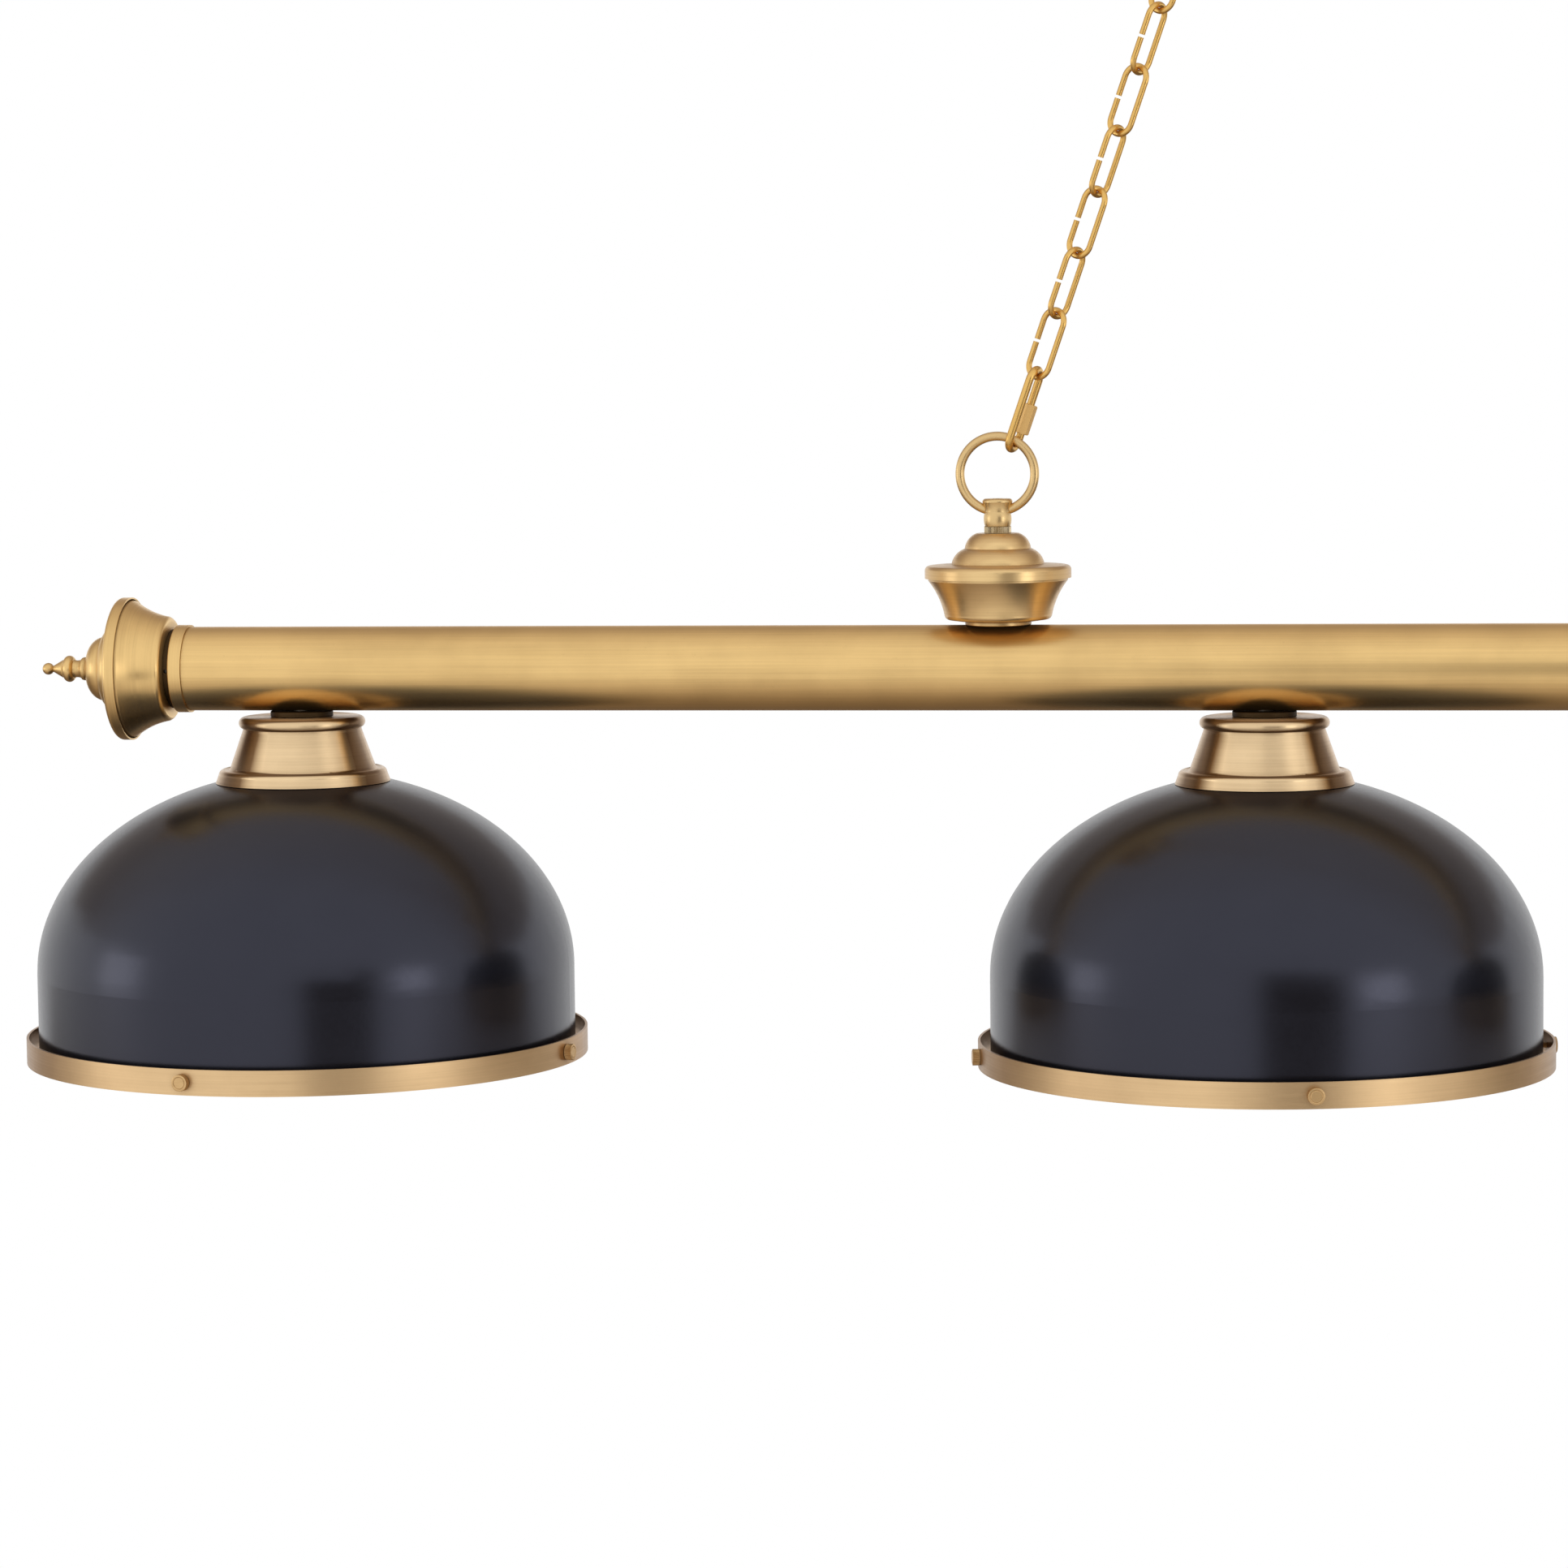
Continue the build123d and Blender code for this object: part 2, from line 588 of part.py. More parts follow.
def bulb():
    """Screw-in bulb hanging in its socket: a hollow globe on a base."""
    low = BULB_TOP - BULB_LENGTH
    middle = low + BULB_R
    base = BULB_TOP - BULB_BASE
    neck = base - BULB_NECK

    def skin(inset):
        """Edges of one face of the envelope, from the base to the tip."""
        r = BULB_R - inset
        slope = r * math.sqrt(0.5)
        top = (BULB_BASE_R - inset, base)
        waist = (BULB_BASE_R + BULB_NECK_FLARE - inset, neck)
        shoulder = (r - BULB_SHOULDER, (neck + middle) / 2 + BULB_SHOULDER_RISE)
        return [
            line(top, waist),
            arc(waist, shoulder, (r, middle)),
            arc((r, middle), (slope, middle - slope), (0, middle - r)),
        ]

    cap = [
        line((BULB_BASE_R, base), (BULB_BASE_R, BULB_TOP - BULB_CONTACT)),
        line((BULB_BASE_R, BULB_TOP - BULB_CONTACT), (BULB_CONTACT_R, BULB_TOP)),
        line((BULB_CONTACT_R, BULB_TOP), (0, BULB_TOP)),
        line((0, BULB_TOP), (0, base)),
        line((0, base), (BULB_BASE_R - BULB_WALL, base)),
        line((0, low), (0, low + BULB_WALL)),
    ]
    return spun(skin(0) + skin(BULB_WALL) + cap)


# ---- wiring ------------------------------------------------------------------------------------
def wiring():
    """Trunk lead on the floor of the bar, with a drop through every shade's nipple."""
    rest = BAR_INSIDE - LEAD_R - SEAT
    angle = math.radians(LEAD_SIDE)
    y = rest * math.sin(angle)
    z = -rest * math.cos(angle)
    reach = SHADE_X[-1] + LEAD_SPARE
    trunk = Pos(0, y, z) * Rot(0, 90, 0) * rod(LEAD_R, -reach, reach)
    for x in SHADE_X:
        route = FilletPolyline(
            (x + LEAD_BRANCH, y, z),
            (x + LEAD_BRANCH * 0.62, y - 0.5, z + LEAD_HUMP * 0.25),
            (x + LEAD_BRANCH * 0.24, y - 5, z + LEAD_HUMP * 0.92),
            (x, 0, z + LEAD_HUMP),
            (x, 0, SOCKET_END + LEAD_FOOT),
            radius=LEAD_BEND,
        )
        trunk += sweep(Plane(route @ 0, z_dir=route % 0) * Circle(LEAD_DROP_R), path=route)
    return trunk


# ---- chain -------------------------------------------------------------------------------------
def stadium(length, width, wire, low, high):
    """Path of a long link in the XZ plane, open on its left side between two heights."""
    bend = width / 2 - wire
    straight = (length - width) / 2
    left = -bend
    path = Line((left, 0, high), (left, 0, straight))
    path += ThreePointArc((left, 0, straight), (0, 0, straight + bend), (bend, 0, straight))
    path += Line((bend, 0, straight), (bend, 0, -straight))
    path += ThreePointArc((bend, 0, -straight), (0, 0, -straight - bend), (left, 0, -straight))
    path += Line((left, 0, -straight), (left, 0, low))
    start = Plane((left, 0, high), z_dir=(0, 0, 1))
    return sweep(start * Circle(wire), path=path)


def on_chain(piece, along):
    """Put a piece drawn about the origin on the left chain's line, by its middle."""
    return Pos(-HANGER_X, 0, LOW_LOOP_Z) * Rot(0, LEAN, 0) * Pos(CHAIN_INSIDE, 0, along) * piece


def chain():
    """All the links of the left chain; the last one is square to the upper quick link."""
    link = stadium(CHAIN_LENGTH, CHAIN_WIDTH, CHAIN_WIRE_R, -CHAIN_SEAM / 2, CHAIN_SEAM / 2)
    sides = [CHAIN_SET + CHAIN_TURN * (-1) ** (i + 1) for i in range(CHAIN_COUNT)]
    twist = (-QUICK_TURN - sides[-1]) / (CHAIN_COUNT - 1)
    first = CHAIN_START + CHAIN_SPAN / 2
    return group([on_chain(Rot(0, 0, side + i * twist) * link, first + i * CHAIN_STEP)
                  for i, side in enumerate(sides)])


def quick_turned(piece):
    """Turn a piece of a quick link so that its opening is at the back."""
    return Rot(0, 0, -90 - QUICK_TURN) * piece


def quick_link():
    """Link with an opening in one side, closed by a sleeve."""
    body = stadium(QUICK_LENGTH, QUICK_WIDTH, QUICK_WIRE_R, GATE_LOW, GATE_LOW + GATE_GAP)
    return quick_turned(body)


def sleeve():
    """Threaded hexagon sleeve over the opening of the quick link."""
    low = GATE_LOW - SLEEVE_LAP
    high = low + SLEEVE_LENGTH
    round_bar = rod(SLEEVE_R, low, high)
    round_bar = chamfer(round_bar.edges().filter_by(GeomType.CIRCLE), SLEEVE_BEVEL)
    hexagon = Pos(0, 0, low) * extrude(RegularPolygon(SLEEVE_R, 6), SLEEVE_LENGTH)
    body = (round_bar & hexagon) - drill(QUICK_WIRE_R + FIT, low, high)
    return quick_turned(Pos(QUICK_WIRE_R - QUICK_WIDTH / 2, 0, 0) * body)


# ---- ceiling -----------------------------------------------------------------------------------
def canopy():
    """Spun ceiling cover, open towards the ceiling, with a rolled rim and one step."""
    bore = NIPPLE_R + FIT

    def outline(inset):
        """Edges of one face of the sheet, from the nipple to the ceiling."""
        deep = -CANOPY_DEPTH + inset
        flat = CANOPY_FLAT_R - inset
        step = CANOPY_STEP_R - inset
        rim = CANOPY_R - inset
        ledge = deep + CANOPY_BOWL
        roll = rim - CANOPY_ROLL
        return [
            line((bore, deep), (flat, deep)),
            arc((flat, deep), (step - CANOPY_BULGE, deep + CANOPY_BOWL * 0.39), (step, ledge)),
            line((step, ledge), (roll, ledge + CANOPY_SLOPE)),
            arc((roll, ledge + CANOPY_SLOPE), (rim - CANOPY_ROLL * 0.25, ledge + CANOPY_ROLL * 0.8),
                (rim, ledge + CANOPY_ROLL * 1.5)),
            line((rim, ledge + CANOPY_ROLL * 1.5), (rim, 0)),
        ]

    ends = [
        line((CANOPY_R - SHEET, 0), (CANOPY_R, 0)),
        line((bore, -CANOPY_DEPTH), (bore, -CANOPY_DEPTH + SHEET)),
    ]
    return spun(outline(0) + outline(SHEET) + ends)


def strap():
    """Flat bar that is screwed to the ceiling box and carries the nipple."""
    bar = Pos(0, 0, -STRAP_THICK / 2) * Box(STRAP_LENGTH, STRAP_WIDTH, STRAP_THICK)
    bar = fillet(bar.edges().filter_by(Axis.Z), STRAP_WIDTH / 4)
    for x in (-STRAP_SCREW_SPACING / 2, STRAP_SCREW_SPACING / 2):
        bar -= Pos(x, 0, 0) * drill(STRAP_SCREW_HOLE_R, -STRAP_THICK, 0)
    return bar - drill(NIPPLE_R + FIT, -STRAP_THICK, 0)


# ---- write the nodes ---------------------------------------------------------------------------
def save_ceiling():
    """Everything that stays on the ceiling."""
    save("ceiling_strap", strap())
    save("strap_nut", Pos(0, 0, -STRAP_THICK - SEAT - NUT_THICK) * lock_nut())
    save("canopy", canopy())
    save("canopy_nipple", nipple(CANOPY_LOOP_Z + COLLAR_BELOW - COLLAR_THREAD + SEAT, -SEAT))
    save("canopy_check_ring", Pos(0, 0, CHECK_TOP - CHECK_THICK) * flat_ring(CHECK_R, CHECK_THICK))
    save("canopy_loop", Pos(0, 0, CANOPY_LOOP_Z) * Rot(180, 0, 0) * cast_loop())


def save_chains():
    """Chains, quick links and sleeves."""
    low = LOW_QUICK_START + QUICK_SPAN / 2
    high = HIGH_QUICK_START + QUICK_SPAN / 2
    save_pair("upper_quick_link", on_chain(quick_link(), high))
    save_pair("upper_sleeve", on_chain(sleeve(), high))
    save_pair("chain", chain())
    save_pair("lower_quick_link", on_chain(quick_link(), low))
    save_pair("lower_sleeve", on_chain(sleeve(), low))


def save_bar():
    """Bar and end fittings."""
    lower = Pos(0, 0, BAR_Z)
    plug = lower * on_end(plug_with_screw_holes())
    collar = lower * on_end(end_collar(), SEAT)
    screws = group([lower * on_end(screw) for screw in set_screws()])
    length = (-PLUG_LENGTH - ROD_PAST_PLUG, END_TOP + FINIAL_THREAD - SEAT)
    rod_piece = lower * on_end(rod(ROD_R, *length))
    save("main_tube", lower * main_tube())
    save("end_plugs", group([plug, opposite(plug)]))
    save("end_collars", group([collar, opposite(collar)]))
    save("end_set_screws", group([screws, opposite(screws)]))
    save("end_rods", group([rod_piece, opposite(rod_piece)]))
    save_pair("end_cup", lower * on_end(flared_cup(), END_CUP))
    save_pair("end_cap", lower * on_end(stepped_cap(), END_CAP))
    save_pair("finial", lower * on_end(finial(), END_TOP + SEAT))


def save_hangers():
    """Hanger stacks on the bar, from the locknut inside it up to the loop."""
    at = Pos(-HANGER_X, 0, BAR_Z)
    nut = at * Pos(0, 0, NUT_SEAT - NUT_THICK) * lock_nut()
    pipe_top = HANGER_LOOP - COLLAR_BELOW + COLLAR_THREAD - SEAT
    pipe = at * nipple(NUT_SEAT - NUT_THICK - NIPPLE_PAST_NUT, pipe_top)
    washer = at * Pos(0, 0, WASHER_FOOT) * flat_ring(HANGER_WASHER_R, HANGER_WASHER)
    ring = at * Pos(0, 0, HANGER_CHECK) * flat_ring(CHECK_R, CHECK_THICK)
    save("hanger_washers", group([washer, opposite(washer)]))
    save("hanger_nipples", group([pipe, opposite(pipe)]))
    save("hanger_nuts", group([nut, opposite(nut)]))
    save("hanger_check_rings", group([ring, opposite(ring)]))
    save_pair("hanger_cup", at * Pos(0, 0, CUP_FOOT) * flared_cup())
    save_pair("hanger_cap", at * Pos(0, 0, CAP_FOOT) * stepped_cap())
    save_pair("hang_loop", at * Pos(0, 0, HANGER_LOOP) * cast_loop())


def save_shades():
    """Shades with their sockets, screws and bulbs."""
    places = [Pos(x, 0, BAR_Z) for x in SHADE_X]
    nut = Pos(0, 0, -NUT_SEAT) * lock_nut()
    lower_nut = Pos(0, 0, FITTER_TOP - SHEET - SEAT - NUT_THICK) * lock_nut()
    pipe = nipple(SOCKET_HEAD - SOCKET_NIPPLE, -NUT_SEAT + NUT_THICK + NIPPLE_PAST_NUT)
    washer = Pos(0, 0, FITTER_TOP + SEAT) * flat_ring(SHADE_WASHER_R, SHADE_WASHER)
    save("shade_washers", group([at * washer for at in places]))
    save("shade_nipples", group([at * pipe for at in places]))
    save("shade_nuts", group([at * piece for at in places for piece in (nut, lower_nut)]))
    save("lamp_sockets", group([at * socket() for at in places]))
    save("shade_rings", group([at * shade_ring() for at in places]))
    screws = []
    for number, at in enumerate(places, start=1):
        turn = SCREW_TURN_ODD if number % 2 else SCREW_TURN_EVEN
        save(f"fitter_{number}", at * fitter())
        save(f"shade_dome_{number}", at * dome(turn))
        save(f"trim_ring_{number}", at * trim_ring(turn))
        save(f"bulb_{number}", at * bulb())
        screws += [at * screw for screw in thumb_screws(turn)]
    save("thumb_screws", group(screws))


save_ceiling()
save_chains()
save_bar()
save_hangers()
save_shades()
save("wiring", Pos(0, 0, BAR_Z) * wiring())
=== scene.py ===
"""Looks of the four-shade pool table lamp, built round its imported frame.

Metres, +Z up, X along the bar, the front of the lamp faces -Y. The ceiling is at height 0.
"""
import math

import bmesh
import bpy
from mathutils import Matrix, Vector


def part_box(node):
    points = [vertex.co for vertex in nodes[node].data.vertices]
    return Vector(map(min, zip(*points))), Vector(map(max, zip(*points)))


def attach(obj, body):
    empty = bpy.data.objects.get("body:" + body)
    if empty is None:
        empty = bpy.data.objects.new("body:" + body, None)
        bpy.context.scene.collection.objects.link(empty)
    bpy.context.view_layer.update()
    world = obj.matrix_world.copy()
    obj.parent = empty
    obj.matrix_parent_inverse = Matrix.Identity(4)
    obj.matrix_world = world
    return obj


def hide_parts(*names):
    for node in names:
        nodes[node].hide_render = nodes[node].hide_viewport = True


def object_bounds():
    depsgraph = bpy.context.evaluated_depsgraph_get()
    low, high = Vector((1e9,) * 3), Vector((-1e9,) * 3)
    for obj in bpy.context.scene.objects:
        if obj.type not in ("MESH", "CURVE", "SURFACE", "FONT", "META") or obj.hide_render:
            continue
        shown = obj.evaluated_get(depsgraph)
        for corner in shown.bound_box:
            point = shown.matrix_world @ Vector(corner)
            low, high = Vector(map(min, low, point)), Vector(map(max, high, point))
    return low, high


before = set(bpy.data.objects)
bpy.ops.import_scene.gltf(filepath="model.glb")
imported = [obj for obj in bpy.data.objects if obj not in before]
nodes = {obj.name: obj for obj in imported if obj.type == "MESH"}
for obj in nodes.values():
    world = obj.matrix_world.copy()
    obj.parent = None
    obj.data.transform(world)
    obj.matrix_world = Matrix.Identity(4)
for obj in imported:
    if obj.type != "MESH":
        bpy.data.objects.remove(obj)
cad_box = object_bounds()

# ---- places, read from the frame -------------------------------------------------------------
SHADES = (1, 2, 3, 4)
SIDES = ("left", "right")


def middle(node):
    """Middle of a CAD node's box."""
    low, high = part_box(node)
    return (Vector(low) + Vector(high)) / 2


BAR = middle("main_tube")
SHADE_X = [middle(f"shade_dome_{number}").x for number in SHADES]
SHADE_PITCH = SHADE_X[1] - SHADE_X[0]
HANGER_X = middle("hanger_cap_right").x
DOME_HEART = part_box("shade_dome_1")[0][2]   # height that the domes' outsides face away from
RING_LOW, RING_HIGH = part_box("trim_ring_1")
RING_R = (RING_HIGH[0] - RING_LOW[0]) / 2
RING_Z = (RING_LOW[2] + RING_HIGH[2]) / 2
SCREW_TURNS = (-11.2, 12.4, -11.2, 12.4)   # each shade's first thumb screw, degrees from the front
SOCKET_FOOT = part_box("lamp_sockets")[0][2]
BULB_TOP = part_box("bulb_1")[1][2]
BULB_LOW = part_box("bulb_1")[0][2]
SOCKET_DEPTH = BULB_TOP - SOCKET_FOOT

# ---- making nodes ----------------------------------------------------------------------------


def give(tree, socket, value):
    """Link a socket to another one, or set its value."""
    if isinstance(value, bpy.types.NodeSocket):
        tree.links.new(value, socket)
    else:
        socket.default_value = value


def add(tree, kind, inputs=None, **settings):
    """One shader node, with its settings and its input values or links."""
    node = tree.nodes.new("ShaderNode" + kind)
    for key, value in settings.items():
        setattr(node, key, value)
    for key, value in (inputs or {}).items():
        give(tree, node.inputs[key], value)
    return node


def maths(tree, operation, *values, clamp=False):
    """The output of a Math node."""
    node = add(tree, "Math", dict(enumerate(values)), operation=operation, use_clamp=clamp)
    return node.outputs[0]


def scaled(tree, vector, factors):
    """A vector multiplied by three factors."""
    return add(tree, "VectorMath", {0: vector, 1: factors}, operation="MULTIPLY").outputs[0]


def noise(tree, vector, scale, detail=3.0, roughness=0.5):
    """A noise value over a vector."""
    return add(tree, "TexNoise", {"Vector": vector, "Scale": scale, "Detail": detail,
                                  "Roughness": roughness}).outputs["Fac"]


def spread(tree, value, low, high, new_low=0.0, new_high=1.0):
    """A value stretched from one range to another and clamped."""
    return add(tree, "MapRange", {"Value": value, "From Min": low, "From Max": high,
                                  "To Min": new_low, "To Max": new_high}).outputs[0]


def blend(tree, factor, first, second, how="MIX"):
    """A mix of two colours."""
    node = add(tree, "Mix", data_type="RGBA", blend_type=how)
    for number, value in ((0, factor), (6, first), (7, second)):
        give(tree, node.inputs[number], value)
    return node.outputs[2]


def rgba(red, green, blue):
    """An opaque colour."""
    return (red, green, blue, 1.0)


def warm(level):
    """Light of a level, warmer the dimmer it is."""
    warmth = 0.27 * (1.0 - level)
    return rgba(level, level * (1.0 - warmth), level * (1.0 - 1.6 * warmth))


def ramp(tree, value, stops):
    """A light that follows (place, level) stops over a value from 0 to 1, warmer where dim."""
    node = add(tree, "ValToRGB", {0: value})
    marks = node.color_ramp.elements
    while len(marks) < len(stops):
        marks.new(0.5)
    for mark, (place, level) in zip(marks, sorted(stops)):
        mark.position = place
        mark.color = warm(level)
    return node.outputs[0]


def new_group(name, inputs, outputs):
    """An empty node group with its sockets, and its input and output nodes."""
    tree = bpy.data.node_groups.new(name, "ShaderNodeTree")
    for label, kind, value in inputs:
        socket = tree.interface.new_socket(label, in_out="INPUT", socket_type="NodeSocket" + kind)
        if value is not None:
            socket.default_value = value
    for label, kind in outputs:
        tree.interface.new_socket(label, in_out="OUTPUT", socket_type="NodeSocket" + kind)
    return tree, tree.nodes.new("NodeGroupInput").outputs, tree.nodes.new("NodeGroupOutput").inputs


def use(tree, group, **inputs):
    """A group placed in a material; underscores in the names of inputs stand for spaces."""
    node = tree.nodes.new("ShaderNodeGroup")
    node.node_tree = group
    for key, value in inputs.items():
        give(tree, node.inputs[key.replace("_", " ")], value)
    return node.outputs


# ---- effects that several finishes share -----------------------------------------------------
MARK_FINENESS = 900.0
MARK_DRIFT_ROUND = 0.012   # how fast brush marks change along themselves, as a share of across
MARK_DRIFT_LONG = 0.008
HOLLOW_REACH = 0.006       # walls nearer than this brown a hollow: patina and painted shade


def make_round_marks():
    """Fine lines round an upright axis, as brushing on a lathe leaves them."""
    tree, given, made = new_group("round_marks", [("Vector", "Vector", None)],
                                  [("Lines", "Float"), ("Bands", "Float")])
    parts = add(tree, "SeparateXYZ", {0: given["Vector"]}).outputs
    across = maths(tree, "SQRT", maths(tree, "ADD", maths(tree, "MULTIPLY", parts[0], parts[0]),
                                       maths(tree, "MULTIPLY", parts[1], parts[1])))
    drift = maths(tree, "MULTIPLY", maths(tree, "ADD", parts[0], parts[1]), MARK_DRIFT_ROUND)
    place = add(tree, "CombineXYZ", {0: across, 1: parts[2], 2: drift}).outputs[0]
    tree.links.new(noise(tree, place, MARK_FINENESS, detail=4.0, roughness=0.65), made["Lines"])
    tree.links.new(noise(tree, place, scale=110.0, detail=2.0), made["Bands"])
    return tree


def make_long_marks():
    """Fine lines along X, as brushing along a bar leaves them."""
    tree, given, made = new_group("long_marks", [("Vector", "Vector", None)],
                                  [("Lines", "Float"), ("Bands", "Float")])
    place = scaled(tree, given["Vector"], (MARK_DRIFT_LONG, 1.0, 1.0))
    tree.links.new(noise(tree, place, MARK_FINENESS, detail=4.0, roughness=0.65), made["Lines"])
    tree.links.new(noise(tree, place, scale=120.0, detail=2.0), made["Bands"])
    return tree


def make_aged_brass():
    """Colour and roughness of lacquered antique brass from its brush marks, its age and its
    hollows, whose brown is patina and painted shade.
    """
    tree, given, made = new_group(
        "aged_brass",
        [("Vector", "Vector", None), ("Lines", "Float", 0.5), ("Bands", "Float", 0.5),
         ("Brass", "Color", BRASS), ("Brown", "Color", BRASS_BROWN),
         ("Streaks", "Float", 0.25), ("Age", "Float", 0.25), ("Roughness", "Float", 0.34),
         ("Hollows", "Float", 0.75)],
        [("Color", "Color"), ("Roughness", "Float")])
    cloud = spread(tree, noise(tree, given["Vector"], scale=22.0, detail=4.0), 0.35, 0.75)
    specks = spread(tree, noise(tree, given["Vector"], scale=420.0, roughness=0.7), 0.62, 0.8)
    lines = spread(tree, given["Lines"], 0.35, 0.75)
    bands = spread(tree, given["Bands"], 0.3, 0.7)
    # ambient occlusion browns hollows and the seams between parts: patina and painted shade
    openness = add(tree, "AmbientOcclusion", {"Distance": HOLLOW_REACH}, samples=4).outputs["AO"]
    hollow_patina_and_shade = maths(tree, "SUBTRACT", 1.0, openness, clamp=True)
    marks = maths(tree, "ADD", maths(tree, "MULTIPLY", lines, 0.6),
                  maths(tree, "MULTIPLY", bands, 0.4))
    streak = maths(tree, "MULTIPLY", marks, given["Streaks"])
    spots = maths(tree, "ADD", cloud, maths(tree, "MULTIPLY", specks, 0.5))
    worn = maths(tree, "MULTIPLY", spots, given["Age"])
    # the brown gathers brush streaks, age, and the hollows' patina and painted shade
    brown = maths(tree, "ADD", maths(tree, "ADD", streak, worn),
                  maths(tree, "MULTIPLY", hollow_patina_and_shade, given["Hollows"]), clamp=True)
    tree.links.new(blend(tree, brown, given["Brass"], given["Brown"]), made["Color"])
    rough = maths(tree, "ADD", given["Roughness"], maths(tree, "MULTIPLY", brown, 0.16))
    tree.links.new(maths(tree, "ADD", rough, maths(tree, "MULTIPLY", lines, 0.05), clamp=True),
                   made["Roughness"])
    return tree


def make_grain():
    """Fine even grain for paint, moulded plastic, casting skin and rubber."""
    tree, given, made = new_group(
        "grain",
        [("Vector", "Vector", None), ("Fineness", "Float", 700.0), ("Waves", "Float", 60.0)],
        [("Grain", "Float"), ("Cloud", "Float")])
    tree.links.new(noise(tree, given["Vector"], given["Fineness"], roughness=0.6), made["Grain"])
    tree.links.new(noise(tree, given["Vector"], given["Waves"]), made["Cloud"])
    return tree


def make_thread():
    """Screw thread round an upright axis, as a height, in the given number of turns a metre."""
    tree, given, made = new_group("thread", [("Vector", "Vector", None), ("Turns", "Float", None)],
                                  [("Height", "Float")])
    parts = add(tree, "SeparateXYZ", {0: given["Vector"]}).outputs
    turn = maths(tree, "DIVIDE", maths(tree, "ARCTAN2", parts[1], parts[0]), math.tau)
    climb = maths(tree, "ADD", maths(tree, "MULTIPLY", parts[2], given["Turns"]), turn)
    tree.links.new(maths(tree, "PINGPONG", climb, 0.5), made["Height"])
    return tree


BRASS = rgba(0.86, 0.59, 0.25)
BRASS_BROWN = rgba(0.36, 0.22, 0.09)
round_marks = make_round_marks()
long_marks = make_long_marks()
aged_brass = make_aged_brass()
grain = make_grain()
thread = make_thread()


# ---- finishes --------------------------------------------------------------------------------
BRUSH_DEPTH = 0.000012
THREAD_DEPTH = 0.0006
PIPE_TURNS = 940.0
ROD_TURNS = 1250.0


def new_finish(name):
    """A material, its node tree, its shader and its object coordinates."""
    material = bpy.data.materials.new(name)
    material.use_nodes = True
    tree = material.node_tree
    shader = tree.nodes["Principled BSDF"]
    place = add(tree, "TexCoord").outputs["Object"]
    return material, tree, shader, place


def relief(tree, shader, height, distance):
    """Feed a height to the shader as bump."""
    bump = add(tree, "Bump", {"Height": height, "Distance": distance, "Strength": 1.0})
    tree.links.new(bump.outputs[0], shader.inputs["Normal"])


def on_shade_axis(tree, place):
    """Coordinates about the axis of the nearest shade."""
    parts = add(tree, "SeparateXYZ", {0: place}).outputs
    shifted = maths(tree, "SUBTRACT", parts[0], SHADE_X[0])
    x = maths(tree, "WRAP", shifted, SHADE_PITCH / 2, -SHADE_PITCH / 2)
    return add(tree, "CombineXYZ", {0: x, 1: parts[1], 2: parts[2]}).outputs[0]


def on_hanger_axis(tree, place):
    """Coordinates about the axis of the nearest hanger."""
    parts = add(tree, "SeparateXYZ", {0: place}).outputs
    x = maths(tree, "SUBTRACT", maths(tree, "ABSOLUTE", parts[0]), HANGER_X)
    return add(tree, "CombineXYZ", {0: x, 1: parts[1], 2: parts[2]}).outputs[0]


def on_bar_axis(tree, place):
    """Coordinates with the bar's axis upright."""
    parts = add(tree, "SeparateXYZ", {0: place}).outputs
    z = maths(tree, "SUBTRACT", parts[2], BAR.z)
    return add(tree, "CombineXYZ", {0: z, 1: parts[1], 2: parts[0]}).outputs[0]


def as_it_is(tree, place):
    """Object coordinates unchanged."""
    return place


def brass_finish(name, brass, brown, axis, marks, roughness=0.30, around=None, gloss=0.8,
                 slant_shade=None):
    """Antique brass brushed round an axis or along the bar.

    Around names the axis of its stretched gloss. The slant stops, (turn away, level), are painted
    shade:
    they darken the colour where the surface is seen at a slant, standing in for dim surroundings
    reflected there.
    """
    material, tree, shader, place = new_finish(name)
    lines = use(tree, marks, Vector=axis(tree, place))
    look = use(tree, aged_brass, Vector=place, Lines=lines["Lines"], Bands=lines["Bands"],
               Brass=brass, Brown=brown, Streaks=0.25, Age=0.22, Roughness=roughness)
    color = look["Color"]
    if slant_shade:
        # painted shade: the colour darkens with the slant at which the surface is seen
        slant = add(tree, "LayerWeight", {"Blend": 0.5}).outputs["Facing"]
        color = blend(tree, 1.0, color, ramp(tree, slant, slant_shade), "MULTIPLY")
    tree.links.new(color, shader.inputs["Base Color"])
    tree.links.new(look["Roughness"], shader.inputs["Roughness"])
    shader.inputs["Metallic"].default_value = 1.0
    if around:
        shader.inputs["Anisotropic"].default_value = gloss
        shader.inputs["Anisotropic Rotation"].default_value = 0.25
        ring = add(tree, "Tangent", direction_type="RADIAL", axis=around)
        tree.links.new(ring.outputs[0], shader.inputs["Tangent"])
    relief(tree, shader, lines["Lines"], BRUSH_DEPTH)
    return material


HANGER_BRASS = rgba(0.92, 0.66, 0.32)
LOOP_BRASS = rgba(0.75, 0.53, 0.25)
SHADE_BRASS = rgba(0.81, 0.57, 0.31)
FITTER_BRASS = rgba(0.92, 0.69, 0.41)
SHADE_BROWN = rgba(0.38, 0.25, 0.13)
CHAIN_BRASS = rgba(0.80, 0.50, 0.155)
CHAIN_BROWN = rgba(0.40, 0.22, 0.06)
SLEEVE_BRASS = rgba(0.90, 0.60, 0.24)
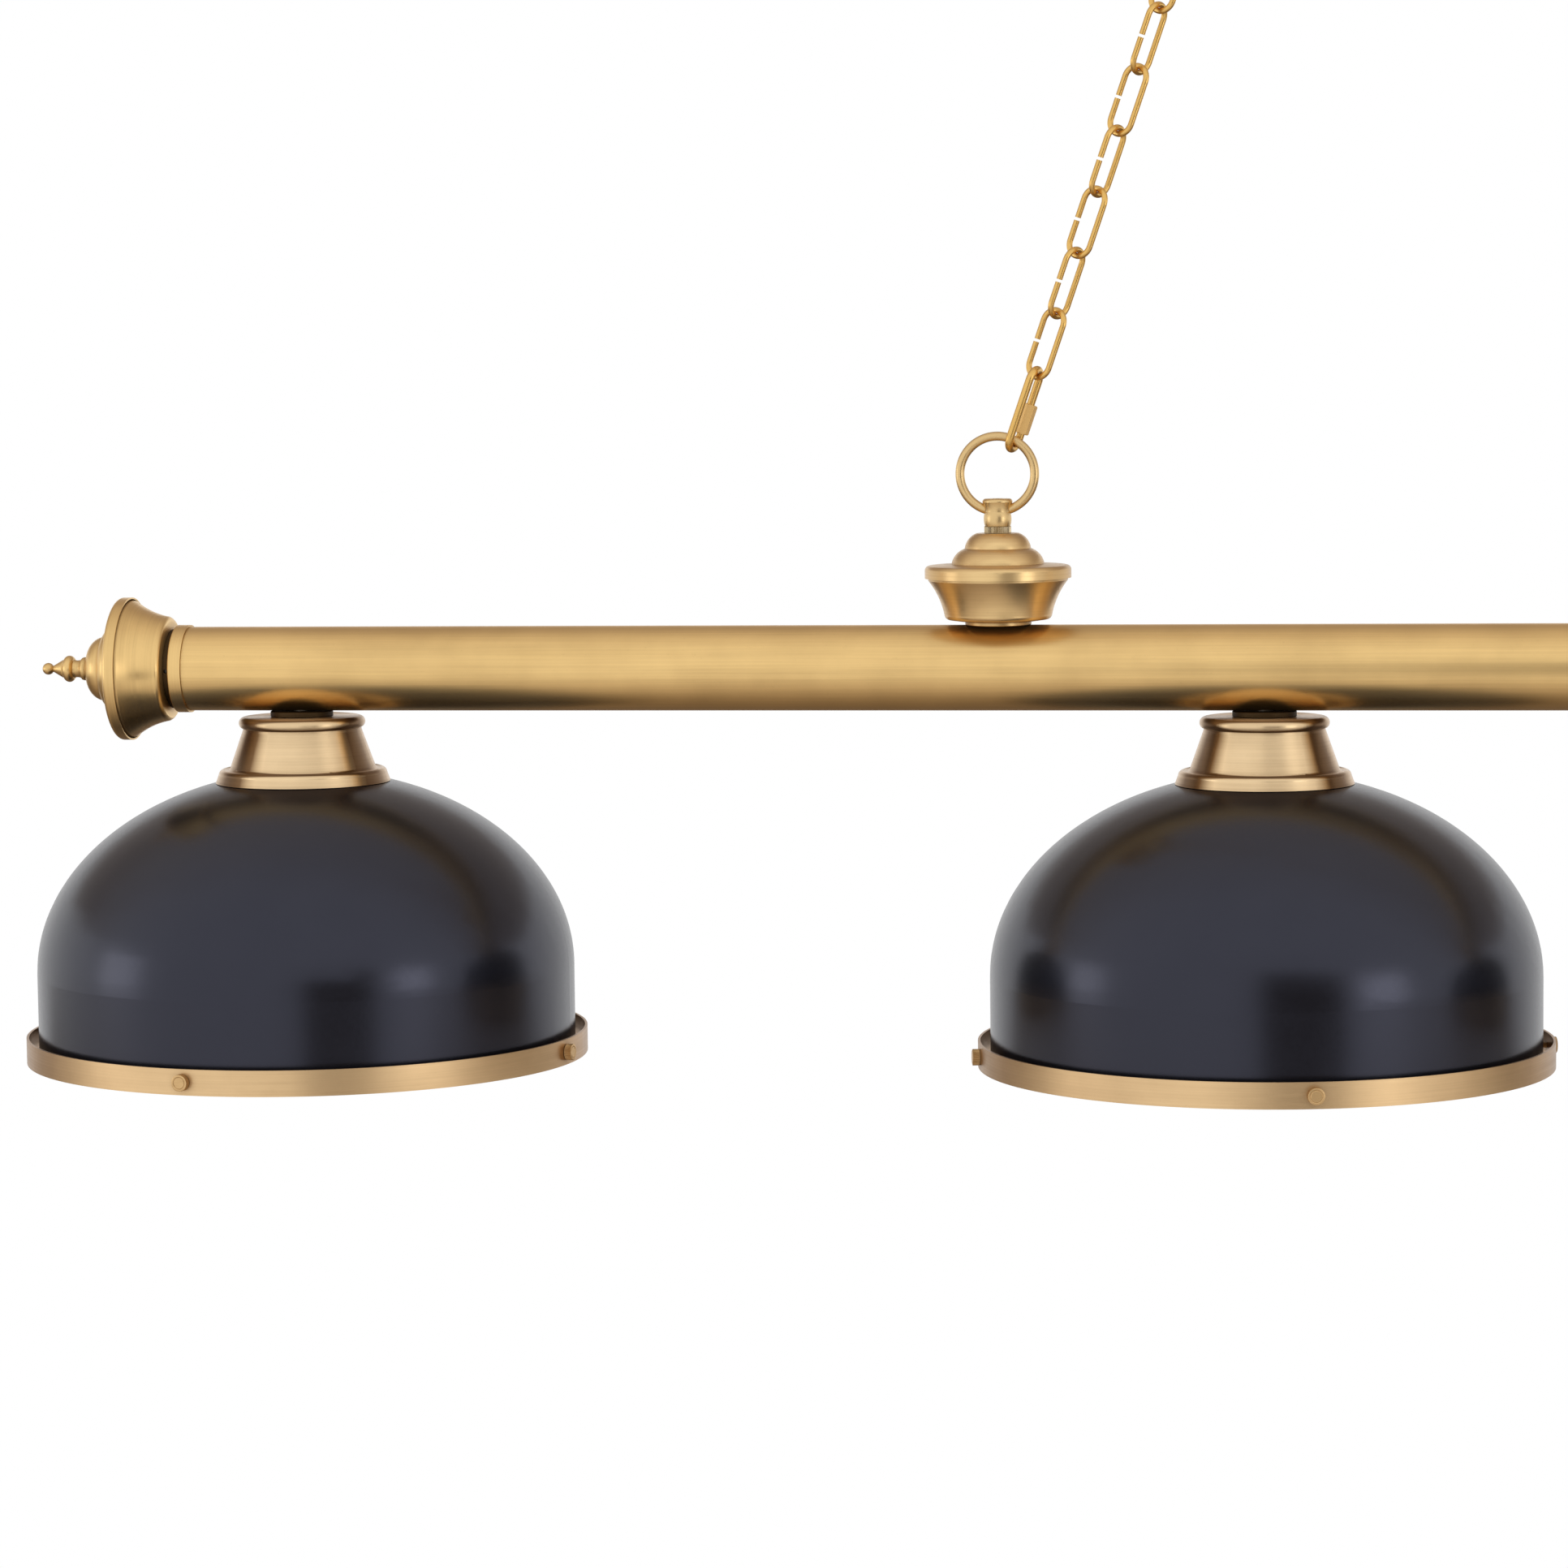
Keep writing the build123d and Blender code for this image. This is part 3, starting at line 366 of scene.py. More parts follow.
# near-black brass for the end necks and shade washers: painted shade for the shadow in these
# recesses
SHADED_NECK_BRASS = rgba(0.09, 0.055, 0.025)
SHADED_NECK_BROWN = rgba(0.03, 0.02, 0.01)
THUMB_BRASS = rgba(0.74, 0.50, 0.24)
THUMB_BROWN = rgba(0.30, 0.17, 0.07)
# painted shade stops (turn away, level) for the hanger, fitter and trim ring, darkening where seen
# at a slant
HANGER_SLANT_SHADE = [(0.0, 1.0), (0.06, 1.0), (0.15, 0.87), (0.45, 0.8), (0.8, 0.74)]
FITTER_SLANT_SHADE = [(0.0, 1.0), (0.2, 1.0), (0.34, 0.24), (0.58, 0.26), (0.85, 0.75)]
RING_SLANT_SHADE = [(0.0, 1.0), (0.35, 1.0), (0.6, 0.62), (0.9, 0.5)]

bar_finish = brass_finish("brushed_brass_bar", BRASS, BRASS_BROWN, as_it_is, long_marks)
end_finish = brass_finish("turned_brass_end", BRASS, BRASS_BROWN, on_bar_axis, round_marks,
                          around="X", gloss=0.5)
# painted shade: the brass darkened to near black
shaded_neck_finish = brass_finish("shaded_brass_neck", SHADED_NECK_BRASS, SHADED_NECK_BROWN, on_bar_axis, round_marks,
                           roughness=0.45)
hanger_finish = brass_finish("turned_brass_hanger", HANGER_BRASS, BRASS_BROWN, on_hanger_axis,
                             round_marks, around="Z", gloss=0.5, slant_shade=HANGER_SLANT_SHADE)
canopy_finish = brass_finish("turned_brass_canopy", BRASS, BRASS_BROWN, as_it_is, round_marks)
fitter_finish = brass_finish("turned_brass_fitter", FITTER_BRASS, SHADE_BROWN, on_shade_axis,
                             round_marks, around="Z", slant_shade=FITTER_SLANT_SHADE)
ring_finish = brass_finish("turned_brass_trim", SHADE_BRASS, SHADE_BROWN, on_shade_axis,
                           round_marks, slant_shade=RING_SLANT_SHADE)


def skin_finish(name, brass, brown, roughness, fineness, stretch, streaks, age, depth):
    """Cast or drawn brass with a fine skin; drawing stretches the skin along Z."""
    material, tree, shader, place = new_finish(name)
    skin = use(tree, grain, Vector=scaled(tree, place, (1.0, 1.0, stretch)), Fineness=fineness,
               Waves=60.0)
    # its hollows brown a little, as patina and painted shade
    look = use(tree, aged_brass, Vector=place, Lines=skin["Grain"], Bands=skin["Cloud"],
               Brass=brass, Brown=brown, Streaks=streaks, Age=age, Roughness=roughness,
               Hollows=0.1)
    tree.links.new(look["Color"], shader.inputs["Base Color"])
    tree.links.new(look["Roughness"], shader.inputs["Roughness"])
    shader.inputs["Metallic"].default_value = 1.0
    relief(tree, shader, skin["Grain"], depth)
    return material


def dome_finish():
    """Satin black enamel outside and white enamel inside, with a faint spray texture."""
    material, tree, shader, place = new_finish("enamel_dome")
    spray = use(tree, grain, Vector=place, Fineness=520.0, Waves=35.0)
    centred = on_shade_axis(tree, place)
    outward = add(tree, "VectorMath", {0: centred, 1: (0.0, 0.0, DOME_HEART)},
                  operation="SUBTRACT").outputs[0]
    normal = add(tree, "TexCoord").outputs["Normal"]
    facing = add(tree, "VectorMath", {0: normal, 1: outward}, operation="DOT_PRODUCT")
    inside = spread(tree, facing.outputs["Value"], 0.001, -0.001)
    waves = spread(tree, spray["Cloud"], 0.35, 0.7)
    black = blend(tree, waves, rgba(0.0035, 0.0036, 0.005), rgba(0.0055, 0.0056, 0.0075))
    white = blend(tree, waves, rgba(0.80, 0.79, 0.76), rgba(0.72, 0.71, 0.68))
    tree.links.new(blend(tree, inside, black, white), shader.inputs["Base Color"])
    gloss = spread(tree, spray["Grain"], 0.3, 0.7, 0.23, 0.27)
    tree.links.new(gloss, shader.inputs["Roughness"])
    slant = add(tree, "LayerWeight", {"Blend": 0.5}).outputs["Facing"]
    shine = spread(tree, slant, 0.45, 0.9, 0.5, 0.3)
    tree.links.new(shine, shader.inputs["Specular IOR Level"])
    shader.inputs["IOR"].default_value = 1.61
    shader.inputs["Specular Tint"].default_value = rgba(0.73, 0.75, 1.0)
    relief(tree, shader, spray["Grain"], 0.000003)
    return material


def plain_finish(name, first, second, roughness, metallic=0.0, depth=0.00005, axis=None,
                 turns=0.0):
    """A quiet finish of two close colours with a fine grain, and a thread where turns is set."""
    material, tree, shader, place = new_finish(name)
    skin = use(tree, grain, Vector=place, Fineness=700.0, Waves=70.0)
    mask = spread(tree, skin["Cloud"], 0.35, 0.7)
    tree.links.new(blend(tree, mask, first, second), shader.inputs["Base Color"])
    tree.links.new(spread(tree, skin["Grain"], 0.3, 0.7, roughness - 0.04, roughness + 0.06),
                   shader.inputs["Roughness"])
    shader.inputs["Metallic"].default_value = metallic
    if turns:
        cut = use(tree, thread, Vector=axis(tree, place), Turns=turns)
        relief(tree, shader, cut["Height"], THREAD_DEPTH)
    else:
        relief(tree, shader, skin["Grain"], depth)
    return material


WIRE_SKIN = {"fineness": 700.0, "stretch": 0.12, "streaks": 0.08, "age": 0.1, "depth": 0.000002}
CAST_SKIN = {"fineness": 1300.0, "stretch": 1.0, "streaks": 0.1, "age": 0.12, "depth": 0.000003}
ZINC = {"first": rgba(0.62, 0.61, 0.57), "second": rgba(0.50, 0.49, 0.45), "roughness": 0.34,
        "metallic": 1.0}

loop_finish = skin_finish("cast_brass_loop", LOOP_BRASS, BRASS_BROWN, 0.29, **CAST_SKIN)
chain_finish = skin_finish("satin_brass_chain", CHAIN_BRASS, CHAIN_BROWN, 0.27, **WIRE_SKIN)
sleeve_finish = skin_finish("dull_brass_sleeve", SLEEVE_BRASS, CHAIN_BROWN, 0.52, **WIRE_SKIN)
dome_enamel = dome_finish()
zinc_finish = plain_finish("zinc_plate", **ZINC)
pipe_finish_hanger = plain_finish("threaded_pipe_hanger", **ZINC, axis=on_hanger_axis,
                                  turns=PIPE_TURNS)
pipe_finish_shade = plain_finish("threaded_pipe_shade", **ZINC, axis=on_shade_axis,
                                 turns=PIPE_TURNS)
pipe_finish_canopy = plain_finish("threaded_pipe_canopy", **ZINC, axis=as_it_is, turns=PIPE_TURNS)
rod_finish = plain_finish("threaded_rod", **ZINC, axis=on_bar_axis, turns=ROD_TURNS)
socket_finish = plain_finish("moulded_socket", rgba(0.022, 0.020, 0.018),
                             rgba(0.034, 0.030, 0.027), roughness=0.42)
opal_finish = plain_finish("opal_glass", rgba(0.86, 0.85, 0.81), rgba(0.90, 0.89, 0.86),
                           roughness=0.22, depth=0.00001)
lead_finish = plain_finish("rubber_lead", rgba(0.020, 0.020, 0.020), rgba(0.030, 0.030, 0.030),
                           roughness=0.6)
cap_finish = plain_finish("nickelled_cap", rgba(0.66, 0.63, 0.57), rgba(0.56, 0.53, 0.47),
                          roughness=0.26, metallic=1.0)
insulator_finish = plain_finish("black_glass", rgba(0.015, 0.014, 0.013),
                                rgba(0.022, 0.02, 0.018), roughness=0.15)
thumb_finish = brass_finish("knurled_brass", THUMB_BRASS, THUMB_BROWN, as_it_is, long_marks,
                            roughness=0.38)
knurl_finish = plain_finish("knurled_ring", rgba(0.62, 0.50, 0.32), rgba(0.46, 0.36, 0.21),
                            roughness=0.32, metallic=1.0)
screw_finish = plain_finish("blackened_steel", rgba(0.05, 0.045, 0.04), rgba(0.08, 0.07, 0.06),
                            roughness=0.4, metallic=1.0)


# ---- modelling by hand -----------------------------------------------------------------------
MERGE_UNDER = 0.00001
SMOOTH_UNDER = math.radians(32)
KNURL_FLOOR = 0.93   # radius at the bottom of a knurl's grooves, as a share of the full one


def begin():
    """Leave nothing selected, so that an operator acts only on the piece being made."""
    bpy.ops.object.select_all(action="DESELECT")


def choose(piece, kind, test):
    """In edit mode, select the vertices, edges or faces of a piece that pass a test."""
    bpy.ops.mesh.select_mode(type=kind)
    bpy.ops.mesh.select_all(action="DESELECT")
    shape = bmesh.from_edit_mesh(piece.data)
    for element in {"VERT": shape.verts, "EDGE": shape.edges, "FACE": shape.faces}[kind]:
        if test(element):
            element.select_set(True)
    shape.select_flush_mode()
    bmesh.update_edit_mesh(piece.data)


def heal(piece):
    """Merge doubled points and turn every face outwards; ends edit mode."""
    bpy.ops.mesh.select_all(action="SELECT")
    bpy.ops.mesh.remove_doubles(threshold=MERGE_UNDER)
    bpy.ops.mesh.normals_make_consistent(inside=False)
    bpy.ops.object.mode_set(mode="OBJECT")
    bpy.ops.object.shade_smooth_by_angle(angle=SMOOTH_UNDER)
    return piece


def raise_circle(first, outline, segments):
    """A circle at the first (radius, height), extruded through the others; stays in edit mode."""
    begin()
    bpy.ops.mesh.primitive_circle_add(vertices=segments, radius=first[0],
                                      location=(0.0, 0.0, first[1]))
    piece = bpy.context.object
    bpy.ops.object.transform_apply(location=True)
    bpy.ops.object.mode_set(mode="EDIT")
    bpy.ops.mesh.select_all(action="SELECT")
    radius, height = first
    for wider, higher in outline:
        rise = (0.0, 0.0, higher - height)
        bpy.ops.mesh.extrude_region_move(TRANSFORM_OT_translate={"value": rise})
        bpy.ops.transform.resize(value=(wider / radius, wider / radius, 1.0),
                                 center_override=(0.0, 0.0, 0.0))
        radius, height = wider, higher
    return piece


def turned(first, outline, segments=64):
    """A closed piece turned about Z; its first and last circles are closed by flat faces."""
    piece = raise_circle(first, outline, segments)
    bpy.ops.mesh.edge_face_add()
    choose(piece, "EDGE", lambda edge: edge.is_boundary)
    bpy.ops.mesh.edge_face_add()
    return heal(piece)


def join(parts):
    """Several pieces as one, with their material slots kept."""
    begin()
    for part in parts:
        part.select_set(True)
    bpy.context.view_layer.objects.active = parts[0]
    bpy.ops.object.join()
    return parts[0]


def screw_thread(core, crest, pitch, low, high, steps=24):
    """Upright bar with one turn of thread in each pitch, cut square at both ends."""
    begin()
    bpy.ops.mesh.primitive_circle_add(vertices=3, radius=1.0, rotation=(math.radians(90), 0.0, 0.0))
    bar = bpy.context.object
    bpy.ops.object.transform_apply(rotation=True)
    bpy.ops.object.mode_set(mode="EDIT")
    shape = bmesh.from_edit_mesh(bar.data)
    tip = max(shape.verts, key=lambda vert: vert.co.z)
    for vert in shape.verts:
        level = 0.0 if vert is tip else math.copysign(pitch / 2, vert.co.x)
        vert.co = (crest if vert is tip else core, 0.0, low - 2 * pitch + level)
    bmesh.update_edit_mesh(bar.data)
    choose(bar, "EDGE", lambda edge: abs(edge.verts[0].co.x - edge.verts[1].co.x) < 1e-9)
    bpy.ops.mesh.delete(type="EDGE")
    bpy.ops.object.mode_set(mode="OBJECT")
    coil = bar.modifiers.new("coil", "SCREW")
    coil.screw_offset = pitch
    coil.iterations = math.ceil((high - low) / pitch) + 4
    coil.steps = coil.render_steps = steps
    coil.use_merge_vertices = True
    coil.merge_threshold = pitch / 100
    bpy.ops.object.modifier_apply(modifier="coil")
    bpy.ops.object.mode_set(mode="EDIT")
    for level, away in ((low, -1.0), (high, 1.0)):
        bpy.ops.mesh.select_all(action="SELECT")
        bpy.ops.mesh.bisect(plane_co=(0.0, 0.0, level), plane_no=(0.0, 0.0, away),
                            use_fill=True, clear_outer=True)
    return heal(bar)


def knurled_drum(radius, low, high, teeth, bevel):
    """Upright drum with a straight knurl round it and bevelled ends; stays in edit mode."""
    begin()
    bpy.ops.mesh.primitive_cylinder_add(vertices=2 * teeth, radius=radius, depth=high - low,
                                        location=(0.0, 0.0, (low + high) / 2))
    drum = bpy.context.object
    bpy.ops.object.transform_apply(location=True)
    bpy.ops.object.mode_set(mode="EDIT")
    choose(drum, "EDGE", lambda edge: abs(edge.verts[0].co.z - edge.verts[1].co.z) < 1e-7)
    bpy.ops.mesh.bevel(offset=bevel, segments=2, affect="EDGES")
    step = math.pi / teeth

    def in_groove(vert):
        """Every other point at full radius."""
        number = round(math.atan2(vert.co.y, vert.co.x) / step)
        return math.isclose(vert.co.xy.length, radius, rel_tol=0.0001) and number % 2 == 0

    choose(drum, "VERT", in_groove)
    bpy.ops.transform.resize(value=(KNURL_FLOOR, KNURL_FLOOR, 1.0),
                             center_override=(0.0, 0.0, 0.0))
    return drum


def copied(piece, name, place):
    """A copy of a finished piece with its own mesh, moved to its place in the mesh."""
    mesh = piece.data.copy()
    mesh.transform(place)
    twin = bpy.data.objects.new(name, mesh)
    bpy.context.collection.objects.link(twin)
    return twin


def discard(piece):
    """Remove a piece that was only there to be copied."""
    bpy.data.objects.remove(piece)


def fit(piece, body, slot, *nodes_replaced):
    """Hand a finished piece over: attach it to what it rides on and hide the nodes it stands for;
    slot is not used.
    """
    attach(piece, body)
    if nodes_replaced:
        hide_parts(*nodes_replaced)


def finish_with(piece, material):
    """Give a piece one material."""
    piece.data.materials.clear()
    piece.data.materials.append(material)


# ---- knurled thumb screws and check rings ----------------------------------------------------
THUMB_R = 0.0051
THUMB_KNURLS = 36
THUMB_FOOT = RING_R + 0.0001
THUMB_FACE = RING_R + 0.00448
SHANK_TIP = 0.1650
CHECK_RING_R = 0.0083
CHECK_RING_BORE = 0.00505
CHECK_RING_HEIGHT = 0.0042
CHECK_RING_BEVEL = 0.0003


def make_thumb_screw():
    """Thumb screw pointing up: knurled head with a turned ring in its face, and a thread."""
    head = knurled_drum(THUMB_R, THUMB_FOOT, THUMB_FACE, THUMB_KNURLS, bevel=0.00035)
    choose(head, "FACE", lambda face: face.normal.z > 0.99)
    bpy.ops.mesh.inset(thickness=0.0008)
    bpy.ops.mesh.inset(thickness=0.00035, depth=-0.00022)
    bpy.ops.mesh.inset(thickness=0.00035, depth=0.00022)
    heal(head)
    shank = screw_thread(core=0.00155, crest=0.0019, pitch=0.0007, low=SHANK_TIP,
                         high=THUMB_FOOT + 0.0011, steps=12)
    return join([head, shank])


def add_thumb_screws():
    """Four thumb screws round each trim ring."""
    screw = make_thumb_screw()
    finish_with(screw, thumb_finish)
    for number, x, turn in zip(SHADES, SHADE_X, SCREW_TURNS):
        for quarter in range(4):
            place = (Matrix.Translation((x, 0.0, RING_Z))
                     @ Matrix.Rotation(math.radians(turn + 90 * quarter), 4, "Z")
                     @ Matrix.Rotation(math.radians(90), 4, "X"))
            twin = copied(screw, f"thumb_screw_{number}_{quarter + 1}", place)
            fit(twin, "lamp", "shade_brass", "thumb_screws")
    discard(screw)


def make_check_ring():
    """Knurled ring standing on the origin, bored for the nipple."""
    ring = knurled_drum(CHECK_RING_R, 0.0, CHECK_RING_HEIGHT, teeth=44, bevel=CHECK_RING_BEVEL)
    choose(ring, "FACE", lambda face: abs(face.normal.z) > 0.99)
    bpy.ops.mesh.inset(thickness=CHECK_RING_R - CHECK_RING_BEVEL - CHECK_RING_BORE)
    bpy.ops.mesh.bridge_edge_loops()
    return heal(ring)


def add_check_rings():
    """Check rings under the loops of the hangers and of the canopy."""
    ring = make_check_ring()
    finish_with(ring, knurl_finish)
    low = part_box("hanger_check_rings")[0][2]
    for side, x in zip(SIDES, (-HANGER_X, HANGER_X)):
        twin = copied(ring, f"knurled_ring_{side}", Matrix.Translation((x, 0.0, low)))
        fit(twin, "lamp", "bar_brass", "hanger_check_rings")
    top = Matrix.Translation((0.0, 0.0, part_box("canopy_check_ring")[0][2]))
    fit(copied(ring, "knurled_ring_canopy", top), "ceiling", "bar_brass", "canopy_check_ring")
    discard(ring)


# ---- bulbs and sockets -----------------------------------------------------------------------
GLOBE_R = 0.030
CAP_PITCH = 0.00363   # seven turns an inch


def curve_through(start, bend, end, count):
    """Points of an arc through three (radius, height) points, after the start."""
    (ax, ay), (bx, by), (cx, cy) = start, bend, end
    double = 2 * (ax * (by - cy) + bx * (cy - ay) + cx * (ay - by))
    sa, sb, sc = ax * ax + ay * ay, bx * bx + by * by, cx * cx + cy * cy
    x = (sa * (by - cy) + sb * (cy - ay) + sc * (ay - by)) / double
    y = (sa * (cx - bx) + sb * (ax - cx) + sc * (bx - ax)) / double
    radius = math.hypot(ax - x, ay - y)
    first, last = math.atan2(ay - y, ax - x), math.atan2(cy - y, cx - x)
    angles = [first + (last - first) * step / count for step in range(1, count + 1)]
    return [(x + radius * math.cos(angle), y + radius * math.sin(angle)) for angle in angles]


def make_bulb():
    """Screw-in bulb: opal globe, threaded cap, insulator and contact; its top is at the origin."""
    heart = BULB_LOW - BULB_TOP + GLOBE_R
    neck, shoulder, belly = (0.0151, -0.039), (0.0222, -0.0535), (GLOBE_R, heart)
    angles = [math.radians(5 * number) for number in range(1, 18)]
    tip = [(GLOBE_R * math.cos(angle), heart - GLOBE_R * math.sin(angle)) for angle in angles]
    glass = turned((0.0126, -0.0242), [(0.0133, -0.0262), (0.0139, -0.031), neck]
                   + curve_through(neck, shoulder, belly, 12) + tip)
    cap = screw_thread(core=0.0118, crest=0.0127, pitch=CAP_PITCH, low=-0.0238, high=-0.0062)
    collar = turned((0.0124, -0.0256),
                    [(0.0128, -0.0252), (0.0128, -0.0240), (0.0122, -0.0236)])
    insulator = turned((0.0118, -0.0064),
                       [(0.0114, -0.0050), (0.0096, -0.0034), (0.0062, -0.0018)])
    contact = turned((0.0050, -0.0019),
                     [(0.0048, -0.0008), (0.0038, -0.0002), (0.0016, -0.00005)], 32)
    finish_with(glass, opal_finish)
    finish_with(cap, cap_finish)
    finish_with(collar, cap_finish)
    finish_with(insulator, insulator_finish)
    finish_with(contact, cap_finish)
    return join([glass, cap, collar, insulator, contact])


def add_bulbs():
    """A bulb in every socket."""
    bulb = make_bulb()
    for number, x in zip(SHADES, SHADE_X):
        twin = copied(bulb, f"opal_bulb_{number}", Matrix.Translation((x, 0.0, BULB_TOP)))
        fit(twin, f"bulb_{number}", "bulb_opal", f"bulb_{number}")
    discard(bulb)


def make_shell():
    """Threaded thin-walled shell of a socket, open at both ends; its foot is at the origin."""
    shell = screw_thread(core=0.0133, crest=0.0129, pitch=CAP_PITCH, low=0.0004,
                         high=SOCKET_DEPTH - 0.0017)
    bpy.ops.object.mode_set(mode="EDIT")
    choose(shell, "FACE", lambda face: abs(face.normal.z) > 0.999 and len(face.verts) > 12)
    bpy.ops.mesh.delete(type="FACE")
    bpy.ops.object.mode_set(mode="OBJECT")
    wall = shell.modifiers.new("wall", "SOLIDIFY")
    wall.thickness = 0.00008
    wall.offset = 0.0
    begin()
    shell.select_set(True)
    bpy.context.view_layer.objects.active = shell
    bpy.ops.object.modifier_apply(modifier="wall")
    return shell


def add_socket_shells():
    """A threaded metal shell in every socket."""
    shell = make_shell()
    finish_with(shell, cap_finish)
    for number, x in zip(SHADES, SHADE_X):
        twin = copied(shell, f"socket_shell_{number}", Matrix.Translation((x, 0.0, SOCKET_FOOT)))
        fit(twin, "lamp", "bar_brass")
    discard(shell)


def paint(names, material):
    """Give some CAD nodes one material."""
    for name in names:
        for slot in nodes[name].material_slots:
            slot.link = "OBJECT"
            slot.material = material


def pair(name):
    """The left and the right node of a name."""
    return [f"{name}_{side}" for side in SIDES]


def each(name):
    """The node of every shade of a name."""
    return [f"{name}_{number}" for number in SHADES]


paint(["main_tube"], bar_finish)
paint(["end_collars"] + pair("end_cup") + pair("end_cap") + pair("finial"), end_finish)
# the end necks and shade washers take the brass darkened with painted shade
paint(["end_plugs", "shade_washers"], shaded_neck_finish)
paint(["end_set_screws"], screw_finish)
paint(["end_rods"], rod_finish)
paint(pair("hanger_cup") + pair("hanger_cap") + ["hanger_washers"], hanger_finish)
paint(["canopy", "canopy_check_ring"], canopy_finish)
paint(pair("hang_loop") + ["canopy_loop"], loop_finish)
paint(each("fitter"), fitter_finish)
paint(each("trim_ring") + ["thumb_screws"], ring_finish)
paint(each("shade_dome"), dome_enamel)
paint(pair("chain") + pair("upper_quick_link") + pair("lower_quick_link"), chain_finish)
paint(pair("upper_sleeve") + pair("lower_sleeve"), sleeve_finish)
paint(["ceiling_strap", "strap_nut", "hanger_nuts", "shade_nuts"], zinc_finish)
paint(["hanger_nipples"], pipe_finish_hanger)
paint(["shade_nipples"], pipe_finish_shade)
paint(["canopy_nipple"], pipe_finish_canopy)
paint(["lamp_sockets", "shade_rings"], socket_finish)
paint(each("bulb"), opal_finish)
paint(["wiring"], lead_finish)

add_thumb_screws()
add_check_rings()
add_bulbs()
add_socket_shells()

# ---- room, lights and camera -----------------------------------------------------------------
FLOOR_Z = cad_box[0].z - 0.85
ROOM_WHITE = rgba(1.0, 1.0, 1.0)
CAMERA_PLACE = (-0.145, -2.996, BAR.z + 0.210)
CAMERA_TURNS = (8.70, -5.33, 0.68)   # yaw, pitch and roll, degrees
CAMERA_LENS = 111.80


def seen_plainly(tree):
    """1 for the rays of the camera, of mirrors and of glass, 0 for those that light the lamp."""
    ray = add(tree, "LightPath").outputs
    mirrored = maths(tree, "MAXIMUM", ray["Is Camera Ray"], ray["Is Glossy Ray"])
    return maths(tree, "MAXIMUM", mirrored, ray["Is Transmission Ray"])


def add_floor():
    """Wide pale floor below the lamp; it shows white to the camera."""
    begin()
    bpy.ops.mesh.primitive_plane_add(size=60.0, location=(0.0, 0.0, FLOOR_Z))
    floor = bpy.context.object
    floor.name = "floor"
    material = bpy.data.materials.new("pale_floor")
    material.use_nodes = True
    tree = material.node_tree
    shader = tree.nodes["Principled BSDF"]
    shader.inputs["Base Color"].default_value = rgba(0.45, 0.44, 0.43)
    shader.inputs["Roughness"].default_value = 0.8
    light = add(tree, "Emission", {"Color": ROOM_WHITE, "Strength": 1.0}).outputs[0]
    mix = add(tree, "MixShader", {0: seen_plainly(tree), 1: shader.outputs[0], 2: light})
    tree.links.new(mix.outputs[0], tree.nodes["Material Output"].inputs["Surface"])
    floor.data.materials.append(material)


def add_world():
    """White room light that is dimmer overhead; camera, mirrors and glass see plain white."""
    world = bpy.data.worlds.new("white_room")
    bpy.context.scene.world = world
    world.use_nodes = True
    tree = world.node_tree
    back = tree.nodes["Background"]
    up = add(tree, "SeparateXYZ", {0: add(tree, "TexCoord").outputs["Generated"]}).outputs[2]
    level = spread(tree, up, 0.25, 0.9, 1.0, 0.6)
    tree.links.new(maths(tree, "MAXIMUM", seen_plainly(tree), level), back.inputs["Strength"])
    back.inputs["Color"].default_value = ROOM_WHITE


def add_softbox(name, place, aim, size, watts):
    """Square soft light."""
    light = bpy.data.lights.new(name, "AREA")
    light.shape = "SQUARE"
    light.size = size
    light.energy = watts
    box = bpy.data.objects.new(name, light)
    box.location = place
    box.rotation_euler = (Vector(aim) - Vector(place)).to_track_quat("-Z", "Y").to_euler()
    box.visible_camera = False
    bpy.context.collection.objects.link(box)


